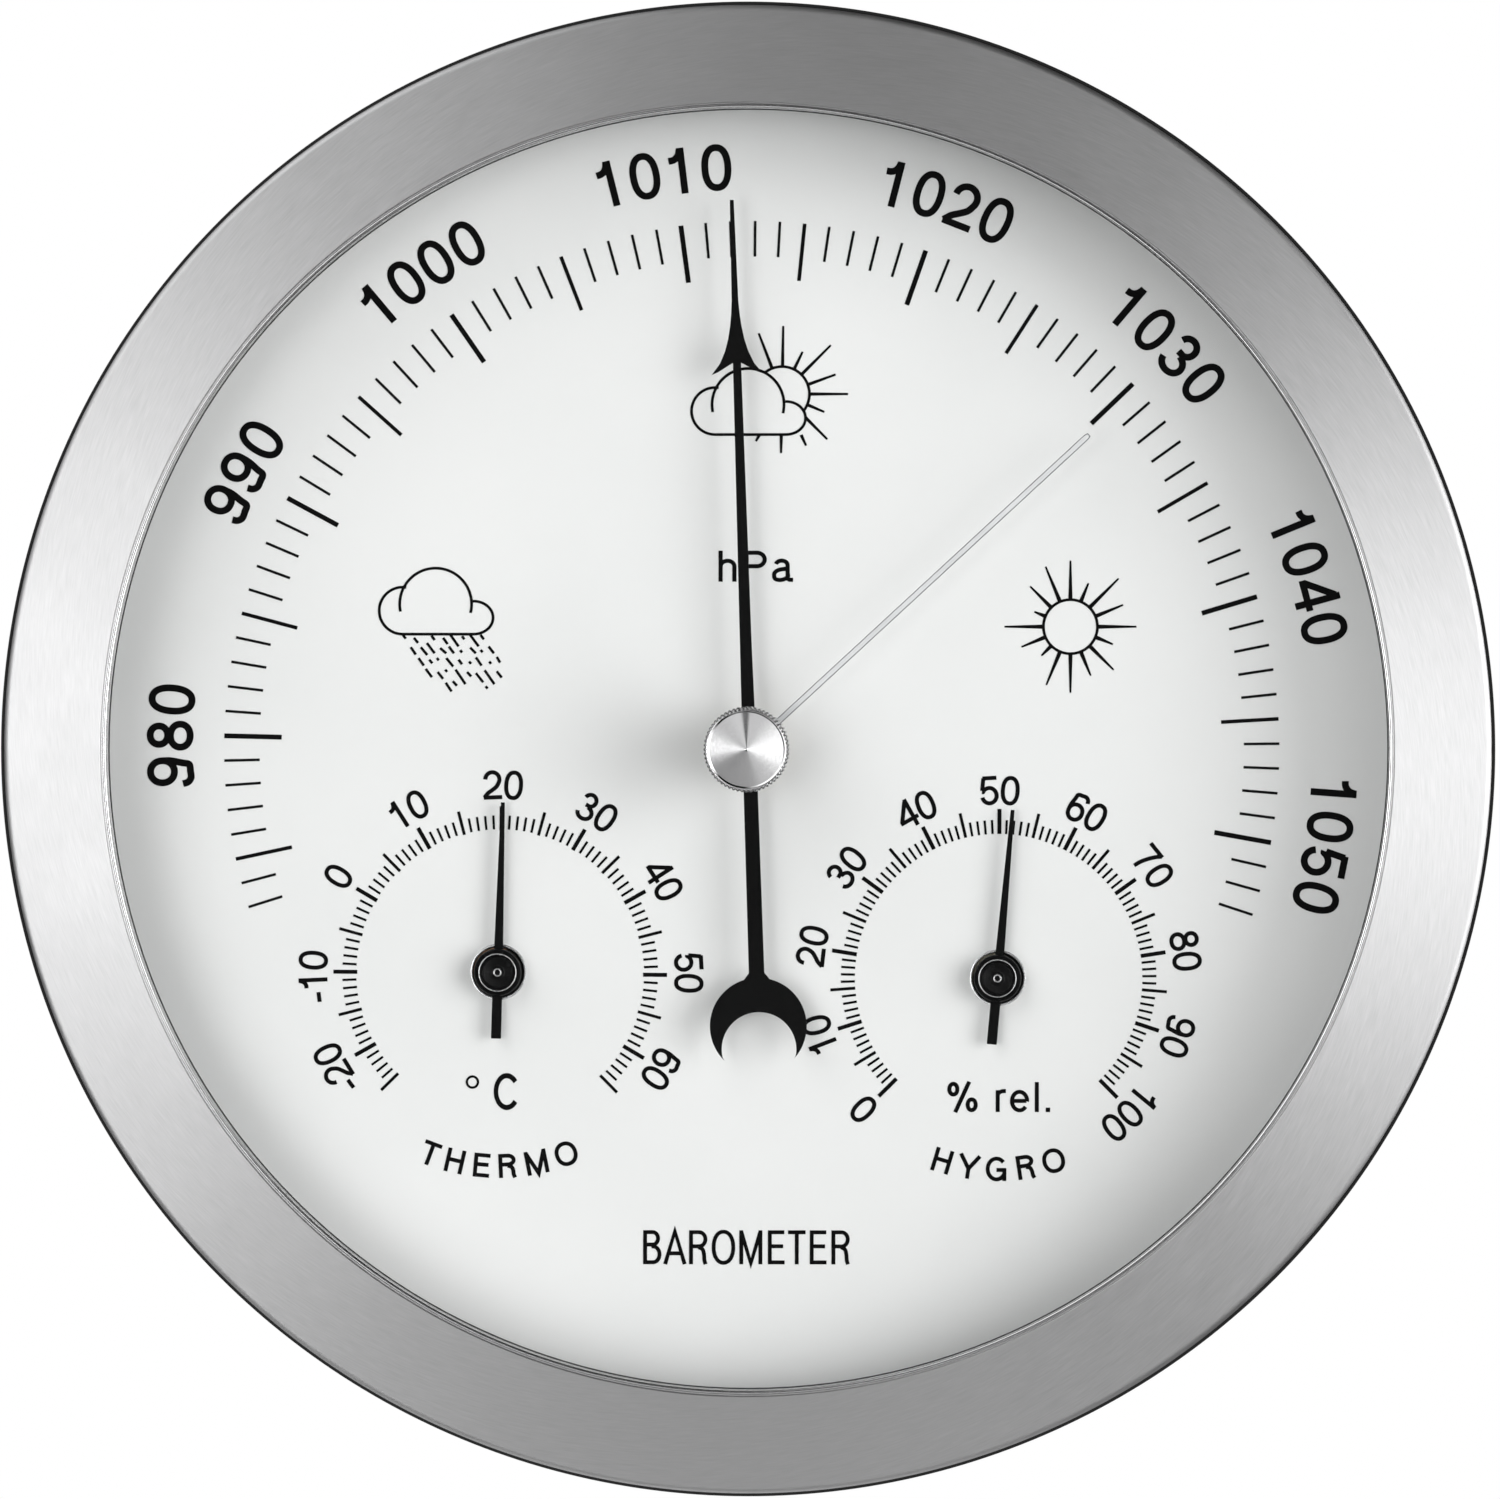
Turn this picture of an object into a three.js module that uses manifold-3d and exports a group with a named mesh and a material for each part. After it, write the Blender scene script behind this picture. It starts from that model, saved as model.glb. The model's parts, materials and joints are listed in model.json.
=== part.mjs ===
// Aneroid barometer with inset thermometer and hygrometer, for wall hanging.
// Millimetres, +Z up, +X to the right of someone reading the dial, dial facing -Y.
// The origin is the centre of the flat rear face, which lies in the plane y = 0.
// Places are [x, z]; a span along Y is [rear, front], both zero or negative inside the case.
import * as THREE from 'three';
import { mergeVertices } from 'three/addons/utils/BufferGeometryUtils.js';
import Module from 'manifold-3d';

const wasm = await Module();
wasm.setup();

// ---------------------------------------------------------------- driving dimensions
const OUTSIDE_R = 66.0;          // bezel outside radius
const DEPTH = 42.0;              // wall face to bezel front
const OPENING_R = 56.6;          // clear opening of the bezel
const DRUM_R = 61.5;             // case drum outside radius
const DRUM_WALL = 0.8;
const COVER_T = 3.0;             // rear cover thickness
const DIAL_FRONT = -31.0;        // dial front plane
const DIAL_T = 0.8;
const DIAL_R = 59.8;
const GLASS_R = 59.3;
const GLASS_Y = [-36.5, -38.5];
const KNOB_R = 3.8;
const GAP = 0.1;                 // left between neighbouring parts
const LAP = 0.1;                 // overlap of lengths joined into one part

// Rest angles, clockwise from 12 o'clock as seen from the front.
const POINTER_REST_DEG = -1.84;  // 1012 hPa
const SET_HAND_REST_DEG = 47.3;  // 1030 hPa
const THERMO_REST_DEG = 1.7;     // 20.6 degrees C
const HYGRO_REST_DEG = 5.1;      // 52 per cent

const AXIS = [0, 0];             // main pointer axis
const THERMO_AT = [-22.4, -19.9];
const HYGRO_AT = [22.0, -20.4];
const PILLARS = [[-20, 0], [20, 0], [0, 38]];
const CAPSULE_AT = [0, 15];
const CAPSULE_R = 20;

const BASE_PLATE_Y = [-4.4, -5.6];
const MIDDLE_PLATE_Y = [-19.5, -20.5];
const TOP_PLATE_Y = [-25.8, -27.0];

const MODULE = 0.35;             // gear module
const PINION_N = 14;
const SECTOR_N = 112;            // teeth of the full wheel the sector is cut from
const SECTOR_TEETH = 13;
const SECTOR_AT = [14.04, 17.0]; // sector arbor; the pinion is on the main axis
const TAIL_R = 4.5;              // sector arbor to tail pin
const FORK_X = SECTOR_AT[0] - TAIL_R;
const ROCKER_Y = -16.3;
const ROCKER_Z = SECTOR_AT[1];

const ARBOR_R = 0.9;
const ARBOR_BORE_R = 0.95;
const THROUGH = [1, -50];        // span of a cutter that passes right through along Y

const ROUNDNESS = 0.58;          // share of the nominal facets given to round bodies
const facets = (nominal) => Math.max(10, 2 * Math.round((nominal * ROUNDNESS) / 2));

// ---------------------------------------------------------------- materials
const material = (settings) => new THREE.MeshStandardMaterial(settings);
const STEEL = material({ color: 0xc9cacb, roughness: 0.32, metalness: 1.0 });
const DARK_STEEL = material({ color: 0x8c8f92, roughness: 0.4, metalness: 1.0 });
const BRASS = material({ color: 0xc9a35a, roughness: 0.35, metalness: 1.0 });
const NICKEL = material({ color: 0xb9bbbd, roughness: 0.28, metalness: 1.0 });
const COPPER = material({ color: 0xb8775a, roughness: 0.4, metalness: 1.0 });
const HYGRO_FOIL = material({ color: 0xcfc7b4, roughness: 0.5, metalness: 0.6 });
const BLACK_LACQUER = material({ color: 0x101010, roughness: 0.45, metalness: 0.0 });
const WHITE_LACQUER = material({ color: 0xf2f2f0, roughness: 0.5, metalness: 0.0 });
const BLACK_PLASTIC = material({ color: 0x1a1a1b, roughness: 0.6, metalness: 0.0 });
const GREY_PLASTIC = material({ color: 0x525253, roughness: 0.55, metalness: 0.0 });
const RUBBER = material({ color: 0x161616, roughness: 0.8, metalness: 0.0 });
const GLASS = material({
  color: 0xf4f8f8, roughness: 0.03, metalness: 0.0, transparent: true, opacity: 0.25,
});

// ---------------------------------------------------------------- solids
// Welds a geometry into a closed solid with its faces turned outwards.
function toSolid(geometry) {
  for (const name of Object.keys(geometry.attributes)) {
    if (name !== 'position') geometry.deleteAttribute(name);
  }
  const welded = mergeVertices(geometry, 1e-4);
  const positions = welded.attributes.position.array;
  const corners = welded.index.array;
  const point = (i) => new THREE.Vector3().fromArray(positions, 3 * i);
  const tris = [];
  let volume = 0;
  for (let i = 0; i < corners.length; i += 3) {
    const [a, b, c] = corners.slice(i, i + 3);
    if (a === b || b === c || c === a) continue;
    tris.push(a, b, c);
    volume += point(a).dot(point(b).cross(point(c)));
  }
  if (volume < 0) tris.reverse();
  return new wasm.Manifold(new wasm.Mesh({
    numProp: 3,
    vertProperties: new Float32Array(positions),
    triVerts: new Uint32Array(tris),
  }));
}

function toGeometry(solid) {
  const mesh = solid.getMesh();
  const geometry = new THREE.BufferGeometry();
  const positions = new Float32Array(mesh.vertProperties);
  geometry.setAttribute('position', new THREE.BufferAttribute(positions, 3));
  geometry.setIndex(new THREE.BufferAttribute(new Uint32Array(mesh.triVerts), 1));
  geometry.computeVertexNormals();
  return geometry;
}

const join = (first, ...rest) => rest.reduce((a, b) => a.add(b), first);
const cut = (first, ...rest) => rest.reduce((a, b) => a.subtract(b), first);
const size = ([from, to]) => Math.abs(to - from);
const middle = ([from, to]) => (from + to) / 2;
const around = (centre, half) => [centre - half, centre + half];

// A body turned about the Y axis from a closed profile of [radius, y] points.
function turned(profile, segments) {
  const points = [...profile, profile[0]].map(([r, y]) => new THREE.Vector2(r, y));
  return toSolid(new THREE.LatheGeometry(points, facets(segments)));
}

// A plain ring about the Y axis.
const ring = (innerR, outerR, [rear, front], segments) => turned(
  [[innerR, rear], [innerR, front], [outerR, front], [outerR, rear]], segments);

// A round bar along Y.
function bar(radius, spanY, segments, [x, z] = AXIS) {
  const geometry = new THREE.CylinderGeometry(radius, radius, size(spanY), facets(segments));
  geometry.translate(x, middle(spanY), z);
  return toSolid(geometry);
}

// Cutter for a round hole right through a part.
const bore = (radius, segments, place) => bar(radius, THROUGH, segments, place);

// Bars end to end; each step is [radius, rear y, front y, nominal facets].
const steppedBar = (steps, place) => join(
  ...steps.map(([radius, rear, front, segments]) => bar(radius, [rear, front], segments, place)));

// A round bar along X on the rocker axis.
function rockerBar(radius, spanX, segments) {
  const geometry = new THREE.CylinderGeometry(radius, radius, size(spanX), facets(segments));
  geometry.rotateZ(Math.PI / 2);
  geometry.translate(middle(spanX), ROCKER_Y, ROCKER_Z);
  return toSolid(geometry);
}

function box(spanX, spanY, spanZ) {
  const geometry = new THREE.BoxGeometry(size(spanX), size(spanY), size(spanZ));
  geometry.translate(middle(spanX), middle(spanY), middle(spanZ));
  return toSolid(geometry);
}

function extruded(outline, depth) {
  const shape = new THREE.Shape(outline.map(([u, v]) => new THREE.Vector2(u, v)));
  return new THREE.ExtrudeGeometry(shape, { depth, bevelEnabled: false, steps: 1 });
}

// A flat plate parallel to the dial, outline in (x, z).
function plate(outline, spanY) {
  const geometry = extruded(outline, size(spanY));
  geometry.rotateX(Math.PI / 2);
  geometry.translate(0, Math.max(...spanY), 0);
  return toSolid(geometry);
}

// A flat plate standing across X, outline in (y, z).
function crossPlate(outline, spanX) {
  const geometry = extruded(outline, size(spanX));
  const alongY = new THREE.Vector3(0, 1, 0);
  const alongZ = new THREE.Vector3(0, 0, 1);
  const alongX = new THREE.Vector3(1, 0, 0);
  geometry.applyMatrix4(new THREE.Matrix4().makeBasis(alongY, alongZ, alongX));
  geometry.translate(Math.min(...spanX), 0, 0);
  return toSolid(geometry);
}

// A screw with a slotted head. headY is [outer face, seat]; the shank leaves the seat.
function slottedScrew(screw, place = AXIS) {
  const { headR, headY, shankR, shankEnd, slotDepth, slotWidth } = screw;
  const { headFacets = 20, shankFacets = 16 } = screw;
  const [face, seat] = headY;
  const outward = Math.sign(face - seat);
  return cut(
    bar(headR, headY, headFacets, place)
      .add(bar(shankR, [seat + outward * LAP, shankEnd], shankFacets, place)),
    box(around(place[0], headR + 1), [face + outward, face - outward * slotDepth],
      around(place[1], slotWidth / 2)));
}

// ---------------------------------------------------------------- outlines
const polar = ([x, z], r, angle) => [x + r * Math.cos(angle), z + r * Math.sin(angle)];

const circlePoints = (centre, r, count) => Array.from({ length: count },
  (_, i) => polar(centre, r, (i / count) * 2 * Math.PI));

const arc = (centre, r, from, to, steps) => Array.from({ length: steps + 1 },
  (_, i) => polar(centre, r, from + ((to - from) * i) / steps));

// Closes a right-hand outline with its mirror image in x = 0.
const mirrored = (right, between = []) => [
  ...right, ...between, ...right.map(([x, z]) => [-x, z]).reverse(),
];

// Convex outline round a set of points.
function hull(points) {
  const sorted = [...points].sort((a, b) => a[0] - b[0] || a[1] - b[1]);
  const turn = (o, a, b) => (a[0] - o[0]) * (b[1] - o[1]) - (a[1] - o[1]) * (b[0] - o[0]);
  const halfOutline = (list) => {
    const out = [];
    for (const next of list) {
      while (out.length >= 2 && turn(out.at(-2), out.at(-1), next) <= 1e-9) out.pop();
      out.push(next);
    }
    out.pop();
    return out;
  };
  return [...halfOutline(sorted), ...halfOutline(sorted.reverse())];
}

// Strip of constant thickness, wound anticlockwise outwards as seen from the front.
function spiral({ innerR, outerR, turns, thickness, spanY, stepsPerTurn }) {
  const count = turns * stepsPerTurn;
  const edge = (offset) => Array.from({ length: count + 1 }, (_, i) => {
    const r = innerR + ((outerR - innerR) * i) / count;
    return polar(AXIS, r + offset, (i / stepsPerTurn) * 2 * Math.PI);
  });
  return plate([...edge(thickness / 2), ...edge(-thickness / 2).reverse()], spanY);
}

// ---------------------------------------------------------------- assembly
const group = new THREE.Group();
group.name = 'aneroid_barometer';

function piece(name, solid, finish, parent = group) {
  const mesh = new THREE.Mesh(toGeometry(solid), finish);
  mesh.name = name;
  parent.add(mesh);
}

// One numbered piece at each place.
function pieces(name, places, build, finish) {
  places.forEach((place, i) => piece(`${name}_${i + 1}`, build(place), finish));
}

// A sub-group on an axis along Y, turned clockwise as seen from the front.
function at([x, z], turnDeg = 0, parent = group) {
  const axis = new THREE.Group();
  axis.position.set(x, 0, z);
  axis.rotation.y = THREE.MathUtils.degToRad(turnDeg);
  parent.add(axis);
  return axis;
}

// ---------------------------------------------------------------- bezel, glass and dial
// Spun ring: its face falls a little towards the rounded outer edge, the rear edge is rolled
// in behind the drum flange, and an inner lip lies over the glass gasket. [radius, y]
const BEZEL_PROFILE = [
  [OPENING_R, -39.0], [OPENING_R, -41.75], [OPENING_R + 0.25, -DEPTH],
  [57.35, -DEPTH], [64.6, -41.43], [65.6, -40.95], [OUTSIDE_R, -40.0],
  [OUTSIDE_R, -30.1], [65.6, -29.6], [63.3, -29.6], [63.3, -30.5], [65.1, -30.5],
  [65.1, -40.4], [59.5, -40.4], [59.5, -39.0],
];
const GLASS_BORE_R = 1.65;       // for the set knob shaft
piece('bezel_ring', turned(BEZEL_PROFILE, 104), STEEL);
piece('glass_gasket', ring(57.0, 59.2, [GLASS_Y[1] - GAP, -38.9], 72), RUBBER);
piece('dial_glass', ring(GLASS_BORE_R, GLASS_R, GLASS_Y, 72), GLASS);
piece('spacer_ring', ring(57.2, 59.6, [DIAL_FRONT - GAP, GLASS_Y[0] + GAP], 72), GREY_PLASTIC);
piece('dial_plate', cut(
  plate(circlePoints(AXIS, DIAL_R, 60), [DIAL_FRONT + DIAL_T, DIAL_FRONT]),
  bore(2.0, 24), bore(2.4, 24, THERMO_AT), bore(2.4, 24, HYGRO_AT)), WHITE_LACQUER);

// ---------------------------------------------------------------- drum
const DRUM_INNER_R = DRUM_R - DRUM_WALL;
const DRUM_REAR = -COVER_T - GAP;
const LEDGE_FRONT = DIAL_FRONT + DIAL_T + GAP;
const FLANGE_FRONT = -31.5;
const COVER_SCREW_HOLE_R = 1.3;
const COVER_SCREWS = [45, 135, 225, 315].map(
  (deg) => polar(AXIS, 58.4, THREE.MathUtils.degToRad(deg)));

// Front flange turned out under the bezel, a ledge behind the dial, and a rear flange
// turned in for the cover screws. [radius, y]
const DRUM_PROFILE = [
  [DRUM_R, DRUM_REAR], [DRUM_R, FLANGE_FRONT + DRUM_WALL],
  [64.8, FLANGE_FRONT + DRUM_WALL], [64.8, FLANGE_FRONT], [DRUM_INNER_R, FLANGE_FRONT],
  [DRUM_INNER_R, LEDGE_FRONT], [58.0, LEDGE_FRONT],
  [58.0, LEDGE_FRONT + DRUM_WALL], [DRUM_INNER_R, LEDGE_FRONT + DRUM_WALL],
  [DRUM_INNER_R, DRUM_REAR - DRUM_WALL], [56.2, DRUM_REAR - DRUM_WALL], [56.2, DRUM_REAR],
];
piece('case_drum', cut(turned(DRUM_PROFILE, 72),
  ...COVER_SCREWS.map((place) => bar(COVER_SCREW_HOLE_R, [-2, -5], 16, place))), STEEL);

// ---------------------------------------------------------------- rear cover and hanger
const VENT = { radius: 9, pitch: 3.6, width: 1.8 };  // a round field of level slots
const HANGER_HALF_WIDTH = 12.8;
const HANGER_Z = [43.1, 55.4];
const SEAT_GAP = 0.2;            // round the hanger in its seat
const RIVETS = [[-10, 49.2], [10, 49.2]];
const RIVET_HOLES = RIVETS.map((place) => bore(1.05, 16, place));
const KEYHOLE = { headAt: [0, 47.6], headR: 3.8, neckAt: [0, 52.0], neckR: 2.1 };

const sunkHole = (holeR, sinkR, sinkFloor, place) => join(
  bore(holeR, 16, place), bar(sinkR, [1, sinkFloor], 20, place));

const ventSlots = ([x, z]) => [-2, -1, 0, 1, 2].map((row) => {
  const offset = row * VENT.pitch;
  const halfLength = Math.sqrt(VENT.radius ** 2 - offset ** 2);
  return box(around(x, halfLength), THROUGH, around(z + offset, VENT.width / 2));
});

// Disc with bosses for the movement, sunk screw holes, air slots behind the sub-dials, a hole
// behind the adjusting screw and a sunk seat for the hanger with room for the wall screw.
piece('rear_cover', cut(
  join(bar(DRUM_R, [0, -COVER_T], 72), ...PILLARS.map(
    (place) => bar(4.5, [-COVER_T + 0.2, BASE_PLATE_Y[0] + GAP], 24, place))),
  ...PILLARS.map((place) => sunkHole(1.35, 2.7, -1.8, place)),
  ...COVER_SCREWS.map((place) => sunkHole(COVER_SCREW_HOLE_R, 2.5, -1.5, place)),
  bore(4.0, 24, CAPSULE_AT),
  ...ventSlots(THERMO_AT),
  ...ventSlots(HYGRO_AT),
  box(around(0, HANGER_HALF_WIDTH + SEAT_GAP), [1, -0.95],
    [HANGER_Z[0] - SEAT_GAP, HANGER_Z[1] + SEAT_GAP]),
  box(around(0, 4.6), THROUGH, [44.6, 54.2]),
  ...RIVET_HOLES), BLACK_PLASTIC);

piece('hanger_plate', cut(
  box(around(0, HANGER_HALF_WIDTH), [-0.1, -0.9], HANGER_Z),
  bore(KEYHOLE.headR, 32, KEYHOLE.headAt),
  box(around(0, KEYHOLE.neckR), THROUGH, [KEYHOLE.headAt[1], KEYHOLE.neckAt[1]]),
  bore(KEYHOLE.neckR, 24, KEYHOLE.neckAt),
  ...RIVET_HOLES), STEEL);

const RIVET_STEPS = [[0.95, -0.2, -3.2, 16], [1.9, -3.1, -3.7, 16]];
pieces('hanger_rivet', RIVETS, (place) => steppedBar(RIVET_STEPS, place), NICKEL);

const COVER_SCREW = {
  headR: 2.2, headY: [-0.2, -1.4], shankR: 1.15, shankEnd: -6.5, slotDepth: 0.5, slotWidth: 0.5,
};
pieces('cover_screw', COVER_SCREWS, (place) => slottedScrew(COVER_SCREW, place), NICKEL);

// ---------------------------------------------------------------- movement frame
const PLATE_CORNERS = [...PILLARS, [-17, 18], [17, 18]];
const PLATE_OUTLINE = hull(PLATE_CORNERS.flatMap((corner) => circlePoints(corner, 4, 16)));
const pillarHoles = (radius, segments) => PILLARS.map((place) => bore(radius, segments, place));

piece('movement_base_plate', cut(plate(PLATE_OUTLINE, BASE_PLATE_Y),
  ...pillarHoles(1.3, 16), bore(1.65, 20, CAPSULE_AT)), BRASS);

const MOVEMENT_SCREW = {
  headR: 2.4, headY: [-0.2, -1.7], shankR: 1.15, shankEnd: -9.0, slotDepth: 0.6, slotWidth: 0.6,
};
pieces('movement_screw', PILLARS, (place) => slottedScrew(MOVEMENT_SCREW, place), NICKEL);

// Pillars: the middle plate sits on the shoulder, and screws enter both ends.
const SHOULDER_Y = MIDDLE_PLATE_Y[0] + GAP;
const PILLAR_STEPS = [
  [2.4, BASE_PLATE_Y[1] - GAP, SHOULDER_Y, 20],
  [1.6, SHOULDER_Y + LAP, TOP_PLATE_Y[0] + GAP, 20],
];
pieces('pillar', PILLARS, (place) => cut(steppedBar(PILLAR_STEPS, place),
  bar(1.25, [-5, -9.4], 16, place), bar(1.0, [-22.6, -27], 16, place)), BRASS);

// Middle plate: two ears on its rear face carry the rocker shaft, and the fork arm passes
// through the slot.
const EAR_Y = [-15.0, -19.6];
const EAR_Z = around(ROCKER_Z, 1.8);
piece('middle_plate', cut(
  join(plate(PLATE_OUTLINE, MIDDLE_PLATE_Y),
    box([-12.6, -11.6], EAR_Y, EAR_Z), box([11.6, 12.6], EAR_Y, EAR_Z)),
  ...pillarHoles(1.7, 20),
  bore(0.75, 16),
  bore(0.9, 16, SECTOR_AT),
  box([8.3, 10.8], THROUGH, around(ROCKER_Z, 3.6)),
  rockerBar(0.9, [-13, 13], 16),
  bore(5, 24, [0, 27])), BRASS);

piece('top_plate', cut(plate(PLATE_OUTLINE, TOP_PLATE_Y),
  ...pillarHoles(1.1, 16), bore(1.1, 20), bore(0.9, 16, SECTOR_AT), bore(6, 24, [-6, 24])), BRASS);

const TOP_SCREW = {
  headR: 2.2, headY: [-28.5, TOP_PLATE_Y[1] - GAP],
  shankR: 0.9, shankEnd: -23.0, slotDepth: 0.6, slotWidth: 0.5,
};
pieces('top_plate_screw', PILLARS, (place) => slottedScrew(TOP_SCREW, place), NICKEL);

// ---------------------------------------------------------------- capsule and its setting screw
const CAPSULE_Y = -10;           // plane between the two corrugated halves
// One half, as [radius, height from that plane].
const CAPSULE_HALF = [
  [0, 2.5], [4.0, 2.5], [6.5, 1.9], [9.0, 2.5], [11.5, 1.9], [14.0, 2.3], [18.0, 0.9],
  [CAPSULE_R, 0.6], [CAPSULE_R, 0.05], [0, 0.05],
];
const capsuleHalf = (side) => turned(
  CAPSULE_HALF.map(([r, height]) => [r, CAPSULE_Y + side * height]), 48);
const TOP_STUD_PROFILE = [       // [radius, y]
  [0, -12.6], [2.4, -12.6], [2.4, -13.2], [0.8, -13.4],
  [0.8, -14.6], [0.35, -15.1], [0.35, -15.8], [0, -15.8],
];
const ADJUSTING_SCREW = {
  headR: 3.0, headY: [-2.4, -3.9], shankR: 1.5, shankEnd: -6.5, slotDepth: 0.8, slotWidth: 0.8,
  headFacets: 28, shankFacets: 20,
};
const capsule = at(CAPSULE_AT);
piece('capsule_lower', capsuleHalf(1), BRASS, capsule);
piece('capsule_upper', capsuleHalf(-1), BRASS, capsule);
piece('capsule_mount_stud', bar(2.6, [-6.6, -7.4], 24), BRASS, capsule);
piece('capsule_top_stud', turned(TOP_STUD_PROFILE, 24), BRASS, capsule);
piece('adjusting_screw', slottedScrew(ADJUSTING_SCREW), BRASS, capsule);

// ---------------------------------------------------------------- rocker
// Arm outlines, as [y, z].
const LIFT_ARM = [
  [-16.7, 14.5], [-15.9, 14.5], [-15.9, 16.0], [-15.2, 16.4],
  [-15.2, 17.9], [-17.4, 17.9], [-17.4, 16.1], [-16.7, 15.8],
];
const FORK_ARM = [
  [-14.9, 15.6], [-14.9, 18.4], [-18.0, 18.2], [-23.3, 18.2], [-23.3, 17.7],
  [-22.0, 17.7], [-22.0, 16.3], [-23.3, 16.3], [-23.3, 15.8], [-18.0, 15.8],
];
const rockerArm = (outline, spanX) => cut(
  crossPlate(outline, spanX), rockerBar(0.76, [-13, 13], 20));
piece('rocker_shaft', rockerBar(0.7, [-13.1, 13.1], 20), DARK_STEEL);
piece('rocker_lift_arm', rockerArm(LIFT_ARM, around(0, 0.7)), BRASS);
piece('rocker_fork_arm', rockerArm(FORK_ARM, around(FORK_X, 0.4)), BRASS);

// ---------------------------------------------------------------- sector and pinion
const PRESSURE_ANGLE = THREE.MathUtils.degToRad(20);
const BACKLASH = 0.2;            // total at the pitch circle, shared by both gears
const ADDENDUM = 0.8 * MODULE;
const DEDENDUM = 1.2 * MODULE;
const TO_PINION = Math.atan2(-SECTOR_AT[1], -SECTOR_AT[0]);  // direction from the sector arbor
const involute = (angle) => Math.tan(angle) - angle;

// One flank from root to tip, as [radius, half the tooth's angle at that radius].
function toothFlank(teeth, steps) {
  const pitchR = (MODULE * teeth) / 2;
  const baseR = pitchR * Math.cos(PRESSURE_ANGLE);
  const tipR = pitchR + ADDENDUM;
  const rootR = pitchR - DEDENDUM;
  const halfAtPitch = ((Math.PI * MODULE) / 2 - BACKLASH) / 2 / pitchR;
  const halfAngle = (r) => halfAtPitch + involute(PRESSURE_ANGLE)
    - involute(Math.acos(Math.min(1, baseR / r)));
  const start = Math.max(baseR, rootR);
  const flank = rootR < baseR ? [[rootR, halfAngle(baseR)]] : [];
  for (let i = 0; i <= steps; i++) {
    const r = start + ((tipR - start) * i) / steps;
    flank.push([r, halfAngle(r)]);
  }
  return flank;
}

// Outline of a run of teeth; tooth numbers count from the direction `zero`.
function toothRun(centre, teeth, flank, count, zero, firstNumber) {
  const outline = [];
  for (let k = 0; k < count; k++) {
    const middleAngle = zero + ((firstNumber + k) * 2 * Math.PI) / teeth;
    outline.push(
      ...flank.map(([r, half]) => polar(centre, r, middleAngle - half)),
      ...flank.map(([r, half]) => polar(centre, r, middleAngle + half)).reverse());
  }
  return outline;
}

// A gap of the pinion faces the sector's middle tooth.
const pinionOutline = () => toothRun(
  AXIS, PINION_N, toothFlank(PINION_N, 3), PINION_N, TO_PINION + Math.PI, 0.5);

function sectorOutline() {
  const flank = toothFlank(SECTOR_N, 2);
  const rootR = flank[0][0];
  const hubEndR = 1.2;
  const halfSpan = (SECTOR_TEETH * Math.PI) / SECTOR_N + 0.01;
  const firstTooth = -(SECTOR_TEETH - 1) / 2;
  return [
    polar(SECTOR_AT, hubEndR, TO_PINION - halfSpan),
    polar(SECTOR_AT, rootR, TO_PINION - halfSpan),
    ...toothRun(SECTOR_AT, SECTOR_N, flank, SECTOR_TEETH, TO_PINION, firstTooth),
    polar(SECTOR_AT, rootR, TO_PINION + halfSpan),
    polar(SECTOR_AT, hubEndR, TO_PINION + halfSpan),
  ];
}

const SECTOR_Y = [-23.9, -24.9];
const TAIL_HALF_WIDTH = 0.9;
const TAIL_PIN_AT = [FORK_X, SECTOR_AT[1]];
const SECTOR_WINDOW = [
  ...arc(SECTOR_AT, 17.2, TO_PINION - 0.29, TO_PINION + 0.29, 8),
  ...arc(SECTOR_AT, 6.0, TO_PINION + 0.2, TO_PINION - 0.2, 4),
];
piece('sector_gear', cut(
  join(
    plate(sectorOutline(), SECTOR_Y),
    bar(2.8, SECTOR_Y, 28, SECTOR_AT),
    box([FORK_X, SECTOR_AT[0]], SECTOR_Y, around(SECTOR_AT[1], TAIL_HALF_WIDTH)),
    bar(TAIL_HALF_WIDTH, SECTOR_Y, 20, TAIL_PIN_AT),
    bar(0.5, [-22.5, SECTOR_Y[0] - LAP], 16, TAIL_PIN_AT)),
  plate(SECTOR_WINDOW, THROUGH),
  bore(ARBOR_BORE_R, 20, SECTOR_AT)), BRASS);

const SECTOR_ARBOR_STEPS = [
  [ARBOR_R, -21.0, -25.5, 20], [0.7, -19.2, -21.1, 16], [0.7, -25.4, -27.3, 16],
];
const POINTER_ARBOR_STEPS = [[0.55, -19.2, -21.3, 16], [ARBOR_R, -21.2, -34.0, 20]];
piece('sector_arbor', steppedBar(SECTOR_ARBOR_STEPS, SECTOR_AT), DARK_STEEL);
piece('pinion', cut(plate(pinionOutline(), [-23.6, -25.3]), bore(ARBOR_BORE_R, 16)), BRASS);
piece('pointer_arbor', steppedBar(POINTER_ARBOR_STEPS), DARK_STEEL);

piece('hairspring_collet', cut(bar(1.9, [-27.5, -28.9], 20), bore(1.0, 20)), BRASS);
piece('hairspring', spiral({
  innerR: 2.2, outerR: 6.6, turns: 4, thickness: 0.16, spanY: [-28.0, -28.7], stepsPerTurn: 14,
}), DARK_STEEL);
piece('hairspring_stud', box([6.9, 8.3], [-27.1, -29.1], around(0, 0.8)), BRASS);

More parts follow.
